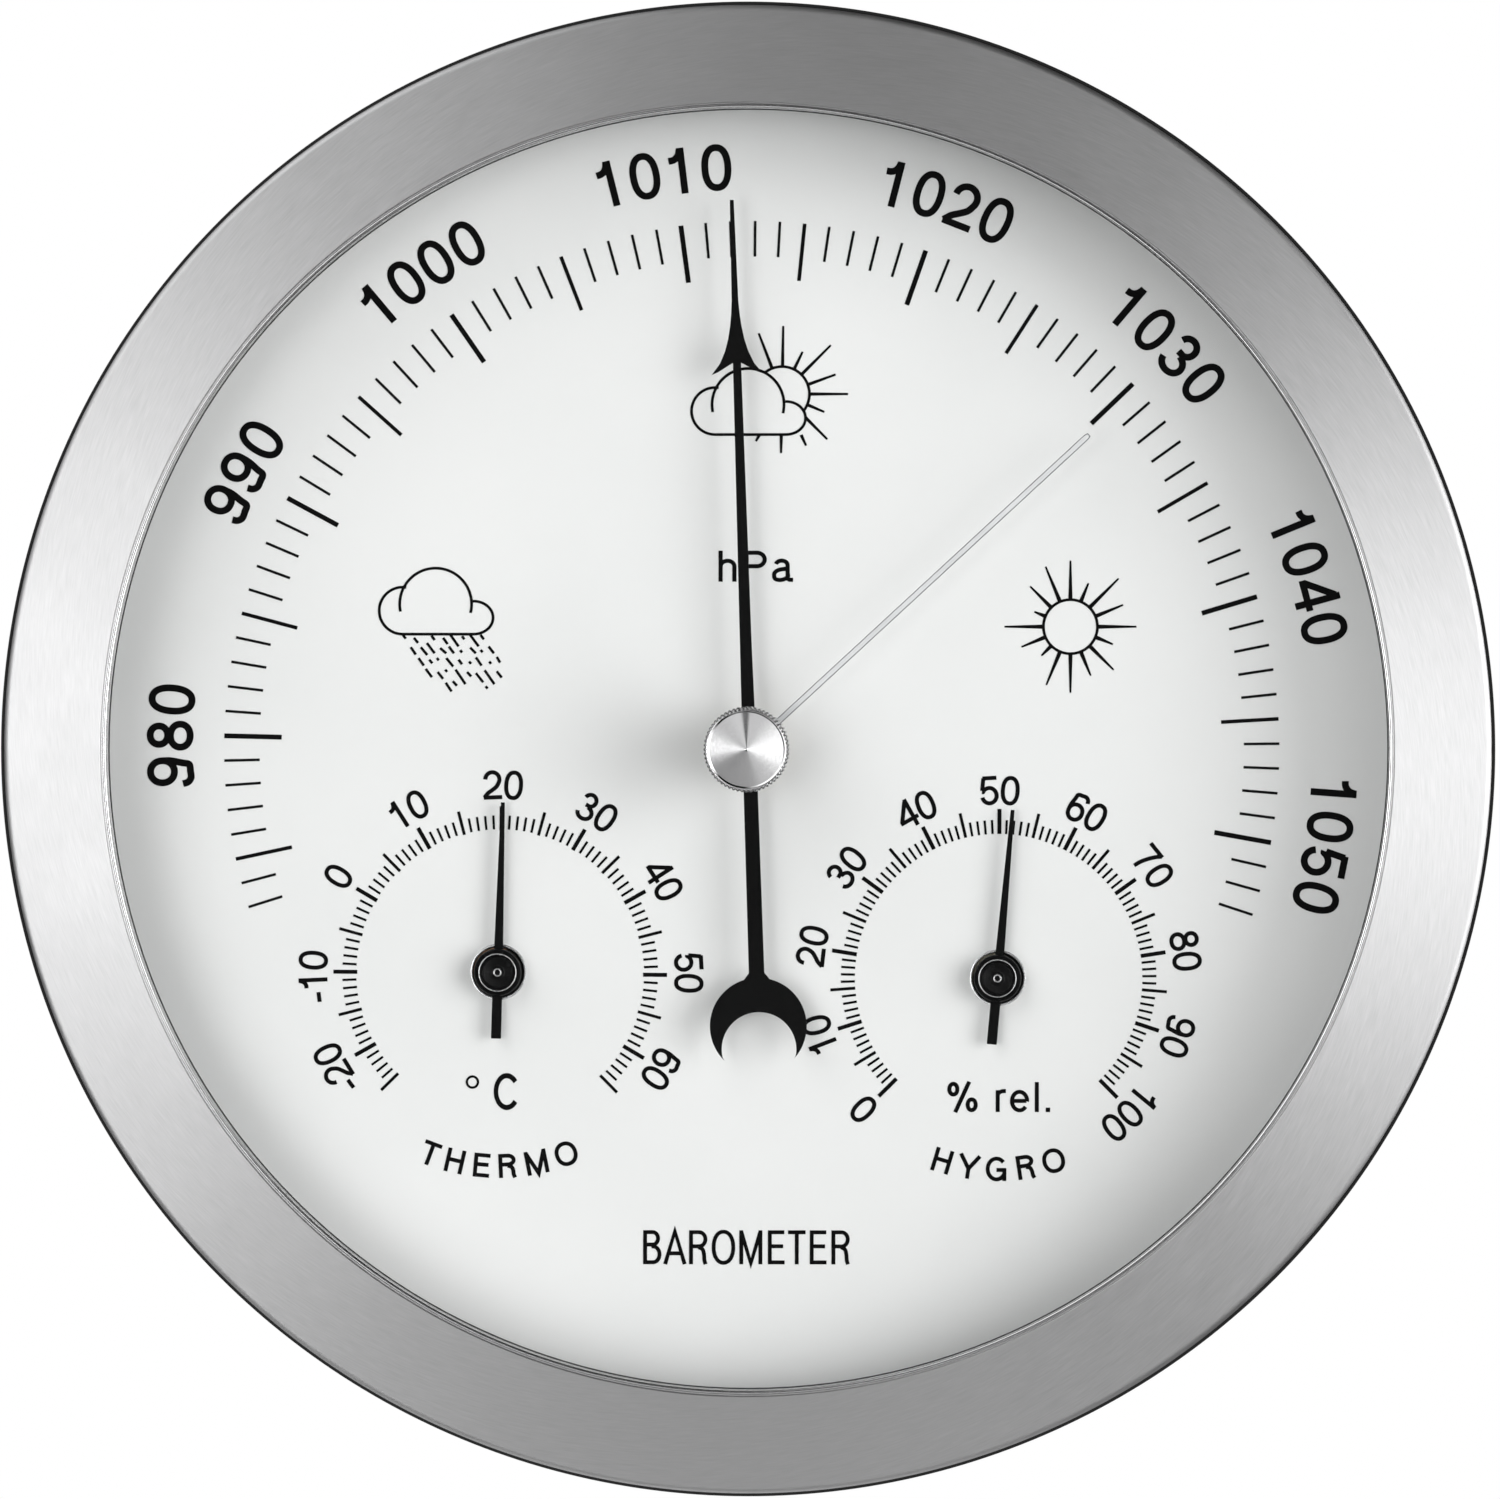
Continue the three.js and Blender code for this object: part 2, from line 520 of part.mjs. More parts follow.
// ---------------------------------------------------------------- main pointer
// Right-hand edge as [x, z]: tip, barbed arrowhead, then the shaft down to the crescent.
const POINTER_EDGE = [
  [0.213, 48.628], [0.276, 42.672], [0.302, 39.561], [0.445, 37.694], [0.765, 36.093],
  [1.298, 34.671], [2.276, 33.249], [1.245, 33.738], [0.347, 34.227],
  [0.409, 26.670], [0.489, 9.601], [0.631, -3.823], [0.658, -16.891], [0.685, -20.091],
];
const CRESCENT_OUTER = { centre: [0, -24.643], radius: 4.294 };
const CRESCENT_INNER = { centre: [0, -26.714], radius: 3.334 };
const CRESCENT_HORN = [3.147, -27.586];

function baroPointerOutline() {
  const angleFrom = ([x, z], point) => Math.atan2(point[1] - z, point[0] - x);
  const { centre: outer, radius: outerR } = CRESCENT_OUTER;
  const { centre: inner, radius: innerR } = CRESCENT_INNER;
  const outerFrom = angleFrom(outer, POINTER_EDGE.at(-1));
  const outerTo = angleFrom(outer, CRESCENT_HORN);
  const innerFrom = angleFrom(inner, CRESCENT_HORN);
  const right = [
    ...POINTER_EDGE,
    ...arc(outer, outerR, outerFrom, outerTo, 9).slice(1, -1),
    CRESCENT_HORN,
    ...arc(inner, innerR, innerFrom, Math.PI / 2, 6).slice(1, -1),
  ];
  return mirrored(right, [[0, inner[1] + innerR]]);
}

const POINTER_Y = [-33.6, -34.0];
const mainPointer = at(AXIS, POINTER_REST_DEG);
piece('baro_pointer', cut(
  join(plate(baroPointerOutline(), POINTER_Y), bar(3.0, POINTER_Y, 28)),
  bore(ARBOR_BORE_R, 20)), BLACK_LACQUER, mainPointer);
piece('pointer_hub', cut(
  bar(2.2, [-32.4, POINTER_Y[0] + GAP], 24), bore(ARBOR_BORE_R, 20)), BRASS, mainPointer);

// ---------------------------------------------------------------- set hand and its knob
const SET_HAND_Y = [-35.2, -35.5];
const SET_HAND_LENGTH = 41.0;
const SHAFT_STEPS = [[1.4, -36.0, -39.0, 24], [0.85, -34.8, -36.1, 20]];
const setHand = at(AXIS, SET_HAND_REST_DEG);
piece('set_hand', cut(
  join(box(around(0, 0.27), SET_HAND_Y, [0, SET_HAND_LENGTH]), bar(2.6, SET_HAND_Y, 24)),
  bore(0.95, 20)), NICKEL, setHand);
piece('set_knob_shaft', steppedBar(SHAFT_STEPS), NICKEL, setHand);
piece('set_knob_washer', cut(bar(3.2, [-35.6, -36.0], 24), bore(1.45, 24)), NICKEL, setHand);

// Knurled knob with a raised front rim and a dished face. Profiles are [radius, y].
const KNURL_POINTS = 48;
const KNURL_DEPTH = 0.2;
const KNURL = circlePoints(AXIS, 1, KNURL_POINTS).map(([x, z], i) => {
  const r = i % 2 ? KNOB_R : KNOB_R - KNURL_DEPTH;
  return [r * x, r * z];
});
const KNOB_RIM = [
  [0, -43.0], [KNOB_R - 0.3, -43.0], [KNOB_R - 0.3, -43.6], [KNOB_R - 0.4, -43.7], [0, -43.7],
];
const KNOB_DISH = [[0, -42.8], [KNOB_R - 0.6, -43.72], [KNOB_R - 0.6, -44.4], [0, -44.4]];
piece('set_knob', cut(
  join(plate(KNURL, [-39.1, -43.4]), turned(KNOB_RIM, 40)),
  turned(KNOB_DISH, 40), bar(1.0, [-38, -39.3], 12)), NICKEL, setHand);

// ---------------------------------------------------------------- sub-dial instruments
// Cup open to the front, with its floor at the rear. Profiles are [radius, y].
const CUP_PROFILE = [
  [0.8, -23.0], [11.0, -23.0], [11.0, -29.5], [12.5, -29.5],
  [12.5, -30.1], [10.2, -30.1], [10.2, -23.8], [0.8, -23.8],
];
const HUB_CAP_PROFILE = [[0, -32.3], [2.1, -32.3], [2.1, -33.0], [1.7, -33.2], [0, -33.2]];
const SUB_ARBOR_STEPS = [
  [0.6, -22.8, -24.2, 16], [1.2, -24.1, -31.8, 20], [0.55, -31.7, -32.5, 16],
];
const SUB_POINTER_Y = [-31.9, -32.2];
const SUB_POINTER_TAIL = 5.9;
const SUB_BORE_R = 0.62;
const COIL = {
  innerR: 1.5, outerR: 8.9, turns: 4, thickness: 0.3, spanY: [-24.6, -28.2], stepsPerTurn: 14,
};

// The cup has six air holes in its floor and a post beside the coil's outer end.
function instrumentCup() {
  const airHoles = [0, 1, 2, 3, 4, 5].map(
    (k) => bore(1.8, 16, polar(AXIS, 6, ((k + 0.25) * Math.PI) / 3)));
  return cut(turned(CUP_PROFILE, 48), ...airHoles)
    .add(box([9.2, 10.4], [-23.5, -28.5], [-0.9, -0.3]));
}

function subPointer(tip) {
  const right = [[0.18, tip], [0.40, 2.0], [0.44, -2.0], [0.45, -SUB_POINTER_TAIL]];
  return cut(join(plate(mirrored(right), SUB_POINTER_Y), bar(1.5, SUB_POINTER_Y, 20)),
    bore(SUB_BORE_R, 16));
}

function subInstrument({ prefix, place, restDeg, coilMaterial, tip }) {
  const fixed = at(place);
  piece(`${prefix}_cup`, instrumentCup(), BLACK_PLASTIC, fixed);
  piece(`${prefix}_coil`, spiral(COIL), coilMaterial, fixed);
  const moving = at(AXIS, restDeg, fixed);
  piece(`${prefix}_arbor`, steppedBar(SUB_ARBOR_STEPS), DARK_STEEL, moving);
  piece(`${prefix}_pointer`, subPointer(tip), BLACK_LACQUER, moving);
  piece(`${prefix}_hub_cap`, cut(turned(HUB_CAP_PROFILE, 28),
    bar(SUB_BORE_R, [-32, -32.7], 16)), BLACK_LACQUER, moving);
}

subInstrument({
  prefix: 'thermo', place: THERMO_AT, restDeg: THERMO_REST_DEG, coilMaterial: COPPER, tip: 15.1,
});
subInstrument({
  prefix: 'hygro', place: HYGRO_AT, restDeg: HYGRO_REST_DEG, coilMaterial: HYGRO_FOIL, tip: 15.0,
});

export default group;
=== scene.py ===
"""Round wall barometer with a thermometer and a hygrometer dial.

It stands upright along Z and faces -Y; its back lies at y = 0 and its axis is the Y axis.
Angles on the dial run clockwise from 12 o'clock, as seen from the front. Lengths are in
millimetres until they are written to a mesh, the scene is in metres.
"""
import json
import math
from contextlib import contextmanager

import bpy
import bmesh
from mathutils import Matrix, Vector
from mathutils.geometry import delaunay_2d_cdt


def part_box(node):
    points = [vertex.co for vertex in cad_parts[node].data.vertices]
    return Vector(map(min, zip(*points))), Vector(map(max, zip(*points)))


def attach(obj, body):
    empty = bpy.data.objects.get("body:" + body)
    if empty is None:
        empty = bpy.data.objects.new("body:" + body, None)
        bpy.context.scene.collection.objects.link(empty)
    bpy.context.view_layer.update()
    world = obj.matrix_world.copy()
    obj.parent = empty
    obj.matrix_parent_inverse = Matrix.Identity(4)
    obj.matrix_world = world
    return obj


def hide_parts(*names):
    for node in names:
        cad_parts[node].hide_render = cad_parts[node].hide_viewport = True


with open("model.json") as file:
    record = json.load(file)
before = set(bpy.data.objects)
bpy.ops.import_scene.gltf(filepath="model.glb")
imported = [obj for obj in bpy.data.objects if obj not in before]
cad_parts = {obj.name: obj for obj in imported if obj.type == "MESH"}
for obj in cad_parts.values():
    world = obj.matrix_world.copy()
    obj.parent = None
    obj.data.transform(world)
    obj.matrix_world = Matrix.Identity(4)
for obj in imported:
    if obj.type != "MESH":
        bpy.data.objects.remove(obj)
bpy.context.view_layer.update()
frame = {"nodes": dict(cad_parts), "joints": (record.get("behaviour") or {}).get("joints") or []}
MM = 0.001
SCENE = bpy.context.scene


# ================================================ places read from the frame
def centre_xz(node):
    lo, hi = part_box(node)
    return ((lo.x + hi.x) / 2 / MM, (lo.z + hi.z) / 2 / MM)


def y_range(node):
    """The y of a node's front and of its rear."""
    lo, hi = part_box(node)
    return lo.y / MM, hi.y / MM


def half_width(node):
    lo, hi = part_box(node)
    return (hi.x - lo.x) / 2 / MM


def joint_xz(name):
    joint = next(j for j in frame["joints"] if j["name"] == name)
    return (joint["pos_m"][0] / MM, joint["pos_m"][2] / MM)


DIAL_FRONT, DIAL_REAR = y_range("dial_plate")
THERMO = joint_xz("thermo_turn")
HYGRO = joint_xz("hygro_turn")

# angles of the hands
POINTER_DEG = -1.84
SET_DEG = 47.3
THERMO_DEG = 1.7
HYGRO_DEG = 5.1


# ================================================ meshes (millimetres in, metres out)
@contextmanager
def editing(mesh):
    bm = bmesh.new()
    bm.from_mesh(mesh)
    yield bm
    bm.to_mesh(mesh)
    bm.free()


def shade_smooth(mesh, sharp_deg):
    mesh.polygons.foreach_set("use_smooth", [True] * len(mesh.polygons))
    mesh.set_sharp_from_angle(angle=math.radians(sharp_deg))


def make(name, verts, faces, look=None, body="case", replaces=None, sharp=35, smooth=True):
    """An object from vertices and faces; without a look it stays unknown to the frame."""
    mesh = bpy.data.meshes.new(name)
    mesh.from_pydata([(x * MM, y * MM, z * MM) for x, y, z in verts], [], faces)
    mesh.validate()
    with editing(mesh) as bm:
        bmesh.ops.remove_doubles(bm, verts=bm.verts, dist=1e-8)
        bmesh.ops.recalc_face_normals(bm, faces=bm.faces)
    if smooth:
        shade_smooth(mesh, sharp)
    ob = bpy.data.objects.new(name, mesh)
    SCENE.collection.objects.link(ob)
    if look:
        mesh.materials.append(look.material)
        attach(ob, body)
        if replaces:
            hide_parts(replaces)
    return ob


def fillet(points, steps):
    """Rounds the corners of a closed profile of (radius, y, corner radius) points."""
    out = []
    for i, here in enumerate(points):
        corner_r = here[2] if len(here) > 2 else 0.0
        if corner_r <= 0:
            out.append((here[0], here[1]))
            continue
        before, after = points[i - 1], points[(i + 1) % len(points)]
        back = Vector((before[0] - here[0], before[1] - here[1]))
        ahead = Vector((after[0] - here[0], after[1] - here[1]))
        back_len, ahead_len = back.length, ahead.length
        back.normalize()
        ahead.normalize()
        angle = math.acos(max(-1, min(1, back.dot(ahead))))
        cut = min(corner_r / math.tan(angle / 2), back_len * 0.49, ahead_len * 0.49)
        corner_r = cut * math.tan(angle / 2)
        corner = Vector((here[0], here[1]))
        centre = corner + (back + ahead).normalized() * (corner_r / math.sin(angle / 2))
        start = corner + back * cut - centre
        end = corner + ahead * cut - centre
        start_angle = math.atan2(start.y, start.x)
        turn = (math.atan2(end.y, end.x) - start_angle + math.pi) % (2 * math.pi) - math.pi
        for k in range(steps + 1):
            t = start_angle + turn * k / steps
            out.append((centre.x + corner_r * math.cos(t), centre.y + corner_r * math.sin(t)))
    return out


def supported(profile):
    """Adds a point near each end of a long run, so that flat faces stay flat in shading."""
    hold = 0.035
    out = []
    for i, a in enumerate(profile):
        b = profile[(i + 1) % len(profile)]
        out.append(a)
        length = math.hypot(b[0] - a[0], b[1] - a[1])
        if length > hold * 6:
            t = hold / length
            for k in (t, 1 - t):
                out.append((a[0] + (b[0] - a[0]) * k, a[1] + (b[1] - a[1]) * k))
    return out


def lathe(name, profile, segments, look, at=(0, 0), radius_of=None, **options):
    """Turns a closed (radius, y) profile about the Y axis through at.

    radius_of(radius, angle) shapes the rings, and leaves the profile without added points.
    """
    if not radius_of:
        profile = supported(profile)
    verts, faces, rings = [], [], []
    for r, y in profile:
        if r < 1e-6:
            verts.append((at[0], y, at[1]))
            rings.append([len(verts) - 1] * segments)
            continue
        ring = []
        for k in range(segments):
            t = 2 * math.pi * k / segments
            ring_r = radius_of(r, t) if radius_of else r
            verts.append((at[0] + ring_r * math.cos(t), y, at[1] + ring_r * math.sin(t)))
            ring.append(len(verts) - 1)
        rings.append(ring)
    for i, a in enumerate(rings):
        b = rings[(i + 1) % len(rings)]
        for k in range(segments):
            m = (k + 1) % segments
            face = list(dict.fromkeys((a[k], a[m], b[m], b[k])))
            if len(face) > 2:
                faces.append(face)
    return make(name, verts, faces, look, **options)


# ------------------------------------------------ flat outlines in (x, z)
def circle(cx, cz, r, n):
    return [(cx + r * math.cos(2 * math.pi * k / n), cz + r * math.sin(2 * math.pi * k / n))
            for k in range(n)]


def arc(cx, cz, rx, rz, start, end, n=None):
    """Points of an elliptic arc between two angles, in degrees anticlockwise from +X."""
    n = n or max(4, int(abs(end - start) / 9))
    angles = [math.radians(start + (end - start) * i / n) for i in range(n + 1)]
    return [(cx + rx * math.cos(t), cz + rz * math.sin(t)) for t in angles]


def rectangle(x0, x1, z0, z1):
    return [(x0, z0), (x1, z0), (x1, z1), (x0, z1)]


def turn_xz(points, deg, at=(0, 0)):
    """Clockwise turn, seen from the front, and a move of the origin to at."""
    a = math.radians(deg)
    c, s = math.cos(a), math.sin(a)
    return [(at[0] + x * c + z * s, at[1] - x * s + z * c) for x, z in points]


def moved(polys, dx, dz):
    return [[(x + dx, z + dz) for x, z in poly] for poly in polys]


def mirrored(right):
    """Closes the right half of an outline with its mirror image."""
    return right + [(-x, z) for x, z in reversed(right)]


def inside(point, outline):
    x, z = point
    hit = False
    for i, (xi, zi) in enumerate(outline):
        xj, zj = outline[i - 1]
        if (zi > z) != (zj > z) and x < (xj - xi) * (z - zi) / (zj - zi) + xi:
            hit = not hit
    return hit


def centre_of(points):
    return tuple(sum(p[k] for p in points) / len(points) for k in (0, 1))


def area_of(poly):
    pairs = zip(poly, poly[1:] + poly[:1])
    return 0.5 * sum(a[0] * b[1] - b[0] * a[1] for a, b in pairs)


def is_convex(quad):
    turns = []
    for i in range(4):
        o, a, b = quad[i], quad[(i + 1) % 4], quad[(i + 2) % 4]
        turns.append((a[0] - o[0]) * (b[1] - a[1]) - (a[1] - o[1]) * (b[0] - a[0]))
    return all(t > 1e-9 for t in turns) or all(t < -1e-9 for t in turns)


def flat_union(polys):
    """Points and triangles covering the union of closed outlines that may overlap."""
    ready = []
    for poly in polys:
        if len(poly) == 4 and not is_convex(poly):
            ready += [poly[:3], [poly[0], poly[2], poly[3]]]
        else:
            ready.append(poly)
    points, edges, faces = [], [], []
    for poly in ready:
        area = area_of(poly)
        if abs(area) < 1e-9:
            continue
        if area < 0:
            poly = poly[::-1]
        faces.append(list(range(len(points), len(points) + len(poly))))
        points += [Vector(p) for p in poly]
    found = delaunay_2d_cdt(points, edges, faces, 0, 1e-5, True)
    tris = [list(t) for t, source in zip(found[2], found[5]) if source]
    return [(p.x, p.y) for p in found[0]], tris


def flat_with_holes(outer, holes):
    """Points and triangles of an outline less its holes."""
    points, edges = [], []
    for loop in [outer] + holes:
        base, n = len(points), len(loop)
        points += [Vector(p) for p in loop]
        edges += [(base + i, base + (i + 1) % n) for i in range(n)]
    found = delaunay_2d_cdt(points, edges, [], 0, 1e-6)
    flat = [(p.x, p.y) for p in found[0]]
    tris = []
    for t in found[2]:
        c = centre_of([flat[i] for i in t])
        if inside(c, outer) and not any(inside(c, hole) for hole in holes):
            tris.append(list(t))
    return flat, tris


def extrude(points, tris, y0, y1):
    """Vertices and faces of a closed solid between the planes y0 and y1."""
    n = len(points)
    verts = [(x, y0, z) for x, z in points] + [(x, y1, z) for x, z in points]
    faces, edges = [], {}
    for t in tris:
        faces.append(tuple(t))
        faces.append(tuple(n + v for v in reversed(t)))
        for a, b in zip(t, t[1:] + t[:1]):
            edges.setdefault((min(a, b), max(a, b)), []).append((a, b))
    for uses in edges.values():
        if len(uses) == 1:
            a, b = uses[0]
            faces.append((b, a, n + a, n + b))
    return verts, faces


def plate(name, outline, holes, y0, y1, look, **options):
    return make(name, *extrude(*flat_with_holes(outline, holes), y0, y1), look, **options)


# ------------------------------------------------ edits of finished meshes
def dissolve_flat(bm):
    bmesh.ops.dissolve_limit(bm, angle_limit=math.radians(0.5), verts=bm.verts, edges=bm.edges)


def apply_modifiers(ob):
    graph = bpy.context.evaluated_depsgraph_get()
    mesh = bpy.data.meshes.new_from_object(ob.evaluated_get(graph))
    ob.modifiers.clear()
    old = ob.data
    ob.data = mesh
    bpy.data.meshes.remove(old)


def bevel(ob, width, angle):
    """Rounds the edges sharper than angle and keeps the flat faces flat in shading."""
    rounding = ob.modifiers.new("edge", "BEVEL")
    rounding.width = width * MM
    rounding.segments = 2
    rounding.limit_method = "ANGLE"
    rounding.angle_limit = math.radians(angle)
    apply_modifiers(ob)
    shade_smooth(ob.data, 32)
    weighting = ob.modifiers.new("flat faces", "WEIGHTED_NORMAL")
    weighting.keep_sharp = True
    weighting.mode = "FACE_AREA"


def cut_with(ob, verts, faces):
    cutter = make("cutter_0", verts, faces, smooth=False)
    cut = ob.modifiers.new("cut", "BOOLEAN")
    cut.operation = "DIFFERENCE"
    cut.solver = "EXACT"
    cut.object = cutter
    apply_modifiers(ob)
    bpy.data.objects.remove(cutter, do_unlink=True)


# ================================================ materials
AXIS_X, AXIS_Z = 0.0, 0.0       # where the axis of the turned grain stands, mm
NOISE_SPAN = (0.3, 0.7)         # the part of a noise field that is put to use
SLANT_RADIUS = 61.0             # radius at which slanted strokes have their nominal lean, mm
ANISO_TURN = 0.25


class Nodes:
    """Short calls for building a node tree; any value may be a number or a socket."""

    def __init__(self, tree):
        self.tree = tree

    def node(self, kind, **settings):
        node = self.tree.nodes.new(kind)
        for key, value in settings.items():
            setattr(node, key, value)
        return node

    def feed(self, socket, value):
        if hasattr(value, "links"):
            self.tree.links.new(value, socket)
        else:
            socket.default_value = value

    def math(self, operation, *values):
        node = self.node("ShaderNodeMath", operation=operation)
        for socket, value in zip(node.inputs, values):
            self.feed(socket, value)
        return node.outputs[0]

    def remap(self, value, to, span=NOISE_SPAN, curve="LINEAR"):
        """Carries the range span over to the range to, clamped."""
        node = self.node("ShaderNodeMapRange", clamp=True, interpolation_type=curve)
        self.feed(node.inputs["Value"], value)
        for key, number in zip(("From Min", "From Max", "To Min", "To Max"), (*span, *to)):
            node.inputs[key].default_value = number
        return node.outputs["Result"]

    def blend_shaders(self, fac, first, second):
        node = self.node("ShaderNodeMixShader")
        for socket, value in zip(node.inputs, (fac, first, second)):
            self.feed(socket, value)
        return node.outputs[0]


class Look(Nodes):
    """A material, its node tree and the frame's name for its kind of finish."""

    def __init__(self, name, slot=None):
        self.material = bpy.data.materials.new(name)
        self.material.use_nodes = True
        super().__init__(self.material.node_tree)
        self.shader = self.tree.nodes["Principled BSDF"]
        self.surface = self.tree.nodes["Material Output"].inputs["Surface"]
        self.slot = slot

    def set(self, **inputs):
        """Feeds inputs of the main shader; underscores stand for spaces."""
        for key, value in inputs.items():
            self.feed(self.shader.inputs[key.replace("_", " ")], value)

    def coords(self):
        return self.node("ShaderNodeTexCoord").outputs["Object"]

    def split_coords(self):
        node = self.node("ShaderNodeSeparateXYZ")
        self.feed(node.inputs[0], self.coords())
        return node.outputs[0], node.outputs[1], node.outputs[2]

    def from_axis(self):
        x, y, z = self.split_coords()
        x = self.math("SUBTRACT", x, AXIS_X * MM)
        z = self.math("SUBTRACT", z, AXIS_Z * MM)
        return x, y, z

    def combine(self, *values):
        node = self.node("ShaderNodeCombineXYZ")
        for socket, value in zip(node.inputs, values):
            self.feed(socket, value)
        return node.outputs[0]

    def radius(self, x, z):
        squares = self.math("ADD", self.math("MULTIPLY", x, x), self.math("MULTIPLY", z, z))
        return self.math("SQRT", squares)

    def noise(self, vector, scale, detail, rough):
        node = self.node("ShaderNodeTexNoise")
        node.inputs["Scale"].default_value = scale
        node.inputs["Detail"].default_value = detail
        node.inputs["Roughness"].default_value = rough
        self.feed(node.inputs["Vector"], vector)
        return node.outputs["Fac"]

    def mix(self, fac, a, b):
        node = self.node("ShaderNodeMix", data_type="RGBA")
        for key, value in (("Factor", fac), ("A", a), ("B", b)):
            self.feed(node.inputs[key], value)
        return node.outputs["Result"]

    def bump(self, height, strength, distance_mm, normal=None):
        node = self.node("ShaderNodeBump")
        node.inputs["Strength"].default_value = strength
        node.inputs["Distance"].default_value = distance_mm * MM
        self.feed(node.inputs["Height"], height)
        if normal is not None:
            self.feed(node.inputs["Normal"], normal)
        return node.outputs["Normal"]

    def round_axis(self, radial, around, along):
        """(radius, cos, sin) about the axis: grain that runs round it without a seam."""
        x, y, z = self.from_axis()
        r = self.radius(x, z)
        safe_r = self.math("MAXIMUM", r, 1e-6)
        cosine = self.math("DIVIDE", x, safe_r)
        sine = self.math("DIVIDE", z, safe_r)
        first = self.math("MULTIPLY", r, radial / MM)
        if along:
            first = self.math("ADD", first, self.math("MULTIPLY", y, along / MM))
        return self.combine(first, self.math("MULTIPLY", cosine, around),
                            self.math("MULTIPLY", sine, around))

    def strokes(self, radial, around, along, slant, detail):
        """Noise in strokes round the axis.

        With a slant, two fields are blended so that the turn closes without a seam.
        """
        if not slant:
            return self.noise(self.round_axis(radial, around, along), 1.0, detail, 0.6)
        x, y, z = self.from_axis()
        r = self.math("DIVIDE", self.radius(x, z), MM)
        fields = []
        for sign in (1.0, -1.0):
            angle = self.math("ARCTAN2", self.math("MULTIPLY", z, sign),
                              self.math("MULTIPLY", x, sign))
            lean = self.math("MULTIPLY", angle, SLANT_RADIUS * slant)
            vector = self.combine(self.math("MULTIPLY", self.math("ADD", r, lean), radial),
                                  self.math("MULTIPLY", angle, around),
                                  self.math("MULTIPLY", y, along / MM))
            fields.append(self.noise(vector, 1.0, detail, 0.6))
        cosine = self.math("DIVIDE", x, self.math("MULTIPLY", r, MM))
        side = self.remap(cosine, (0.0, 1.0), span=(-0.5, 0.5))
        return self.math("ADD", self.math("MULTIPLY", fields[0], side),
                         self.math("MULTIPLY", fields[1], self.math("SUBTRACT", 1.0, side)))


def shade(base, factor):
    return tuple(min(1, c * factor) for c in base) + (1,)


def brushed_steel(name, slot, base, rough, aniso, grain=1.0, along=0.0, relief=1.0, slant=0.0,
                  polished_and_painted=(), front=0.0):
    """Turned or brushed steel.

    slant leans the strokes off the circle. The listed rings, only ahead of the plane y = front,
    are polished, and their colour is scaled as painted light: (radius from, radius to, fade,
    roughness, colour factor; above 1 a painted highlight, below 1 a painted shade).
    """
    look = Look(name, slot)
    fine = look.strokes(9.0 * grain, 26.0, along * 9.0, slant, detail=2.0)
    middle = look.strokes(3.2 * grain, 9.0, along * 3.2, slant, detail=3.0)
    wide = look.noise(look.round_axis(0.35, 3.0, along * 0.35), scale=1.0, detail=3.0, rough=0.5)
    cloudy = look.noise(look.coords(), scale=90.0, detail=4.0, rough=0.6)
    tone = look.math("ADD", look.math("MULTIPLY", fine, 0.7), look.math("MULTIPLY", middle, 0.3))
    colour = look.mix(look.remap(tone, (0, 1)), shade(base, 0.90), shade(base, 1.08))
    colour = look.mix(look.remap(wide, (0.0, 0.08), span=(0.35, 0.65)), colour, shade(base, 0.9))
    roughness = look.math("ADD", look.remap(cloudy, (-0.015, 0.015)),
                          look.remap(middle, (rough - 0.02, rough + 0.02)))
    spread = None
    for r_from, r_to, fade, smooth_rough, painted_tone in polished_and_painted:
        x, y, z = look.split_coords()
        r = look.radius(x, z)
        rise = look.remap(r, (0.0, 1.0), span=((r_from - fade) * MM, r_from * MM))
        fall = look.remap(r, (1.0, 0.0), span=(r_to * MM, (r_to + fade) * MM))
        weight = look.math("MULTIPLY", rise, fall)
        ahead = look.remap(y, (1.0, 0.0), span=(front * MM, (front + 0.15) * MM))
        weight = look.math("MULTIPLY", weight, ahead)
        keep = look.math("SUBTRACT", 1.0, weight)
        roughness = look.math("ADD", look.math("MULTIPLY", roughness, keep),
                              look.math("MULTIPLY", weight, smooth_rough))
        # painted light: each listed ring's colour is scaled by its factor, a painted highlight
        # above 1 and a painted shade below 1
        colour = look.mix(weight, colour, shade(base, painted_tone))
        spread = keep if spread is None else look.math("MULTIPLY", spread, keep)
    tangent = look.node("ShaderNodeTangent", direction_type="RADIAL", axis="Y")
    normal = look.bump(fine, 0.16 * relief, distance_mm=0.012)
    normal = look.bump(middle, 0.05 * relief, distance_mm=0.02, normal=normal)
    look.set(Metallic=1.0, Base_Color=colour, Roughness=roughness, Normal=normal,
             Anisotropic=aniso if spread is None else look.math("MULTIPLY", spread, aniso),
             Anisotropic_Rotation=ANISO_TURN, Tangent=tangent.outputs[0])
    return look


def mottled(name, slot, base, rough, vary, tint, fine, wide, bump, distance, **inputs):
    """Even surface with a fine grain and wide clouds; fine and wide are noise settings."""
    look = Look(name, slot)
    grain = look.noise(look.coords(), *fine)
    clouds = look.noise(look.coords(), *wide)
    look.set(Base_Color=look.mix(look.remap(clouds, (0, 1)),
                                 shade(base, 1 - tint), shade(base, 1 + tint)),
             Roughness=look.math("ADD", look.remap(grain, (-0.05, 0.05)),
                                 look.remap(clouds, (rough - vary, rough + vary))),
             Normal=look.bump(grain, bump, distance), **inputs)
    return look


def plain_metal(name, slot, base, rough, metallic=1.0, wear=0.1):
    return mottled(name, slot, base, rough, vary=0.04, tint=wear, fine=(700.0, 4.0, 0.6),
                   wide=(120.0, 4.0, 0.6), bump=0.12, distance=0.02, Metallic=metallic)


def coated(name, slot, base, rough, grain, bump, tint, distance=0.01, spec=0.5):
    return mottled(name, slot, base, rough, vary=0.03, tint=tint, fine=(grain, 3.0, 0.6),
                   wide=(60.0, 4.0, 0.55), bump=bump, distance=distance,
                   Specular_IOR_Level=spec)


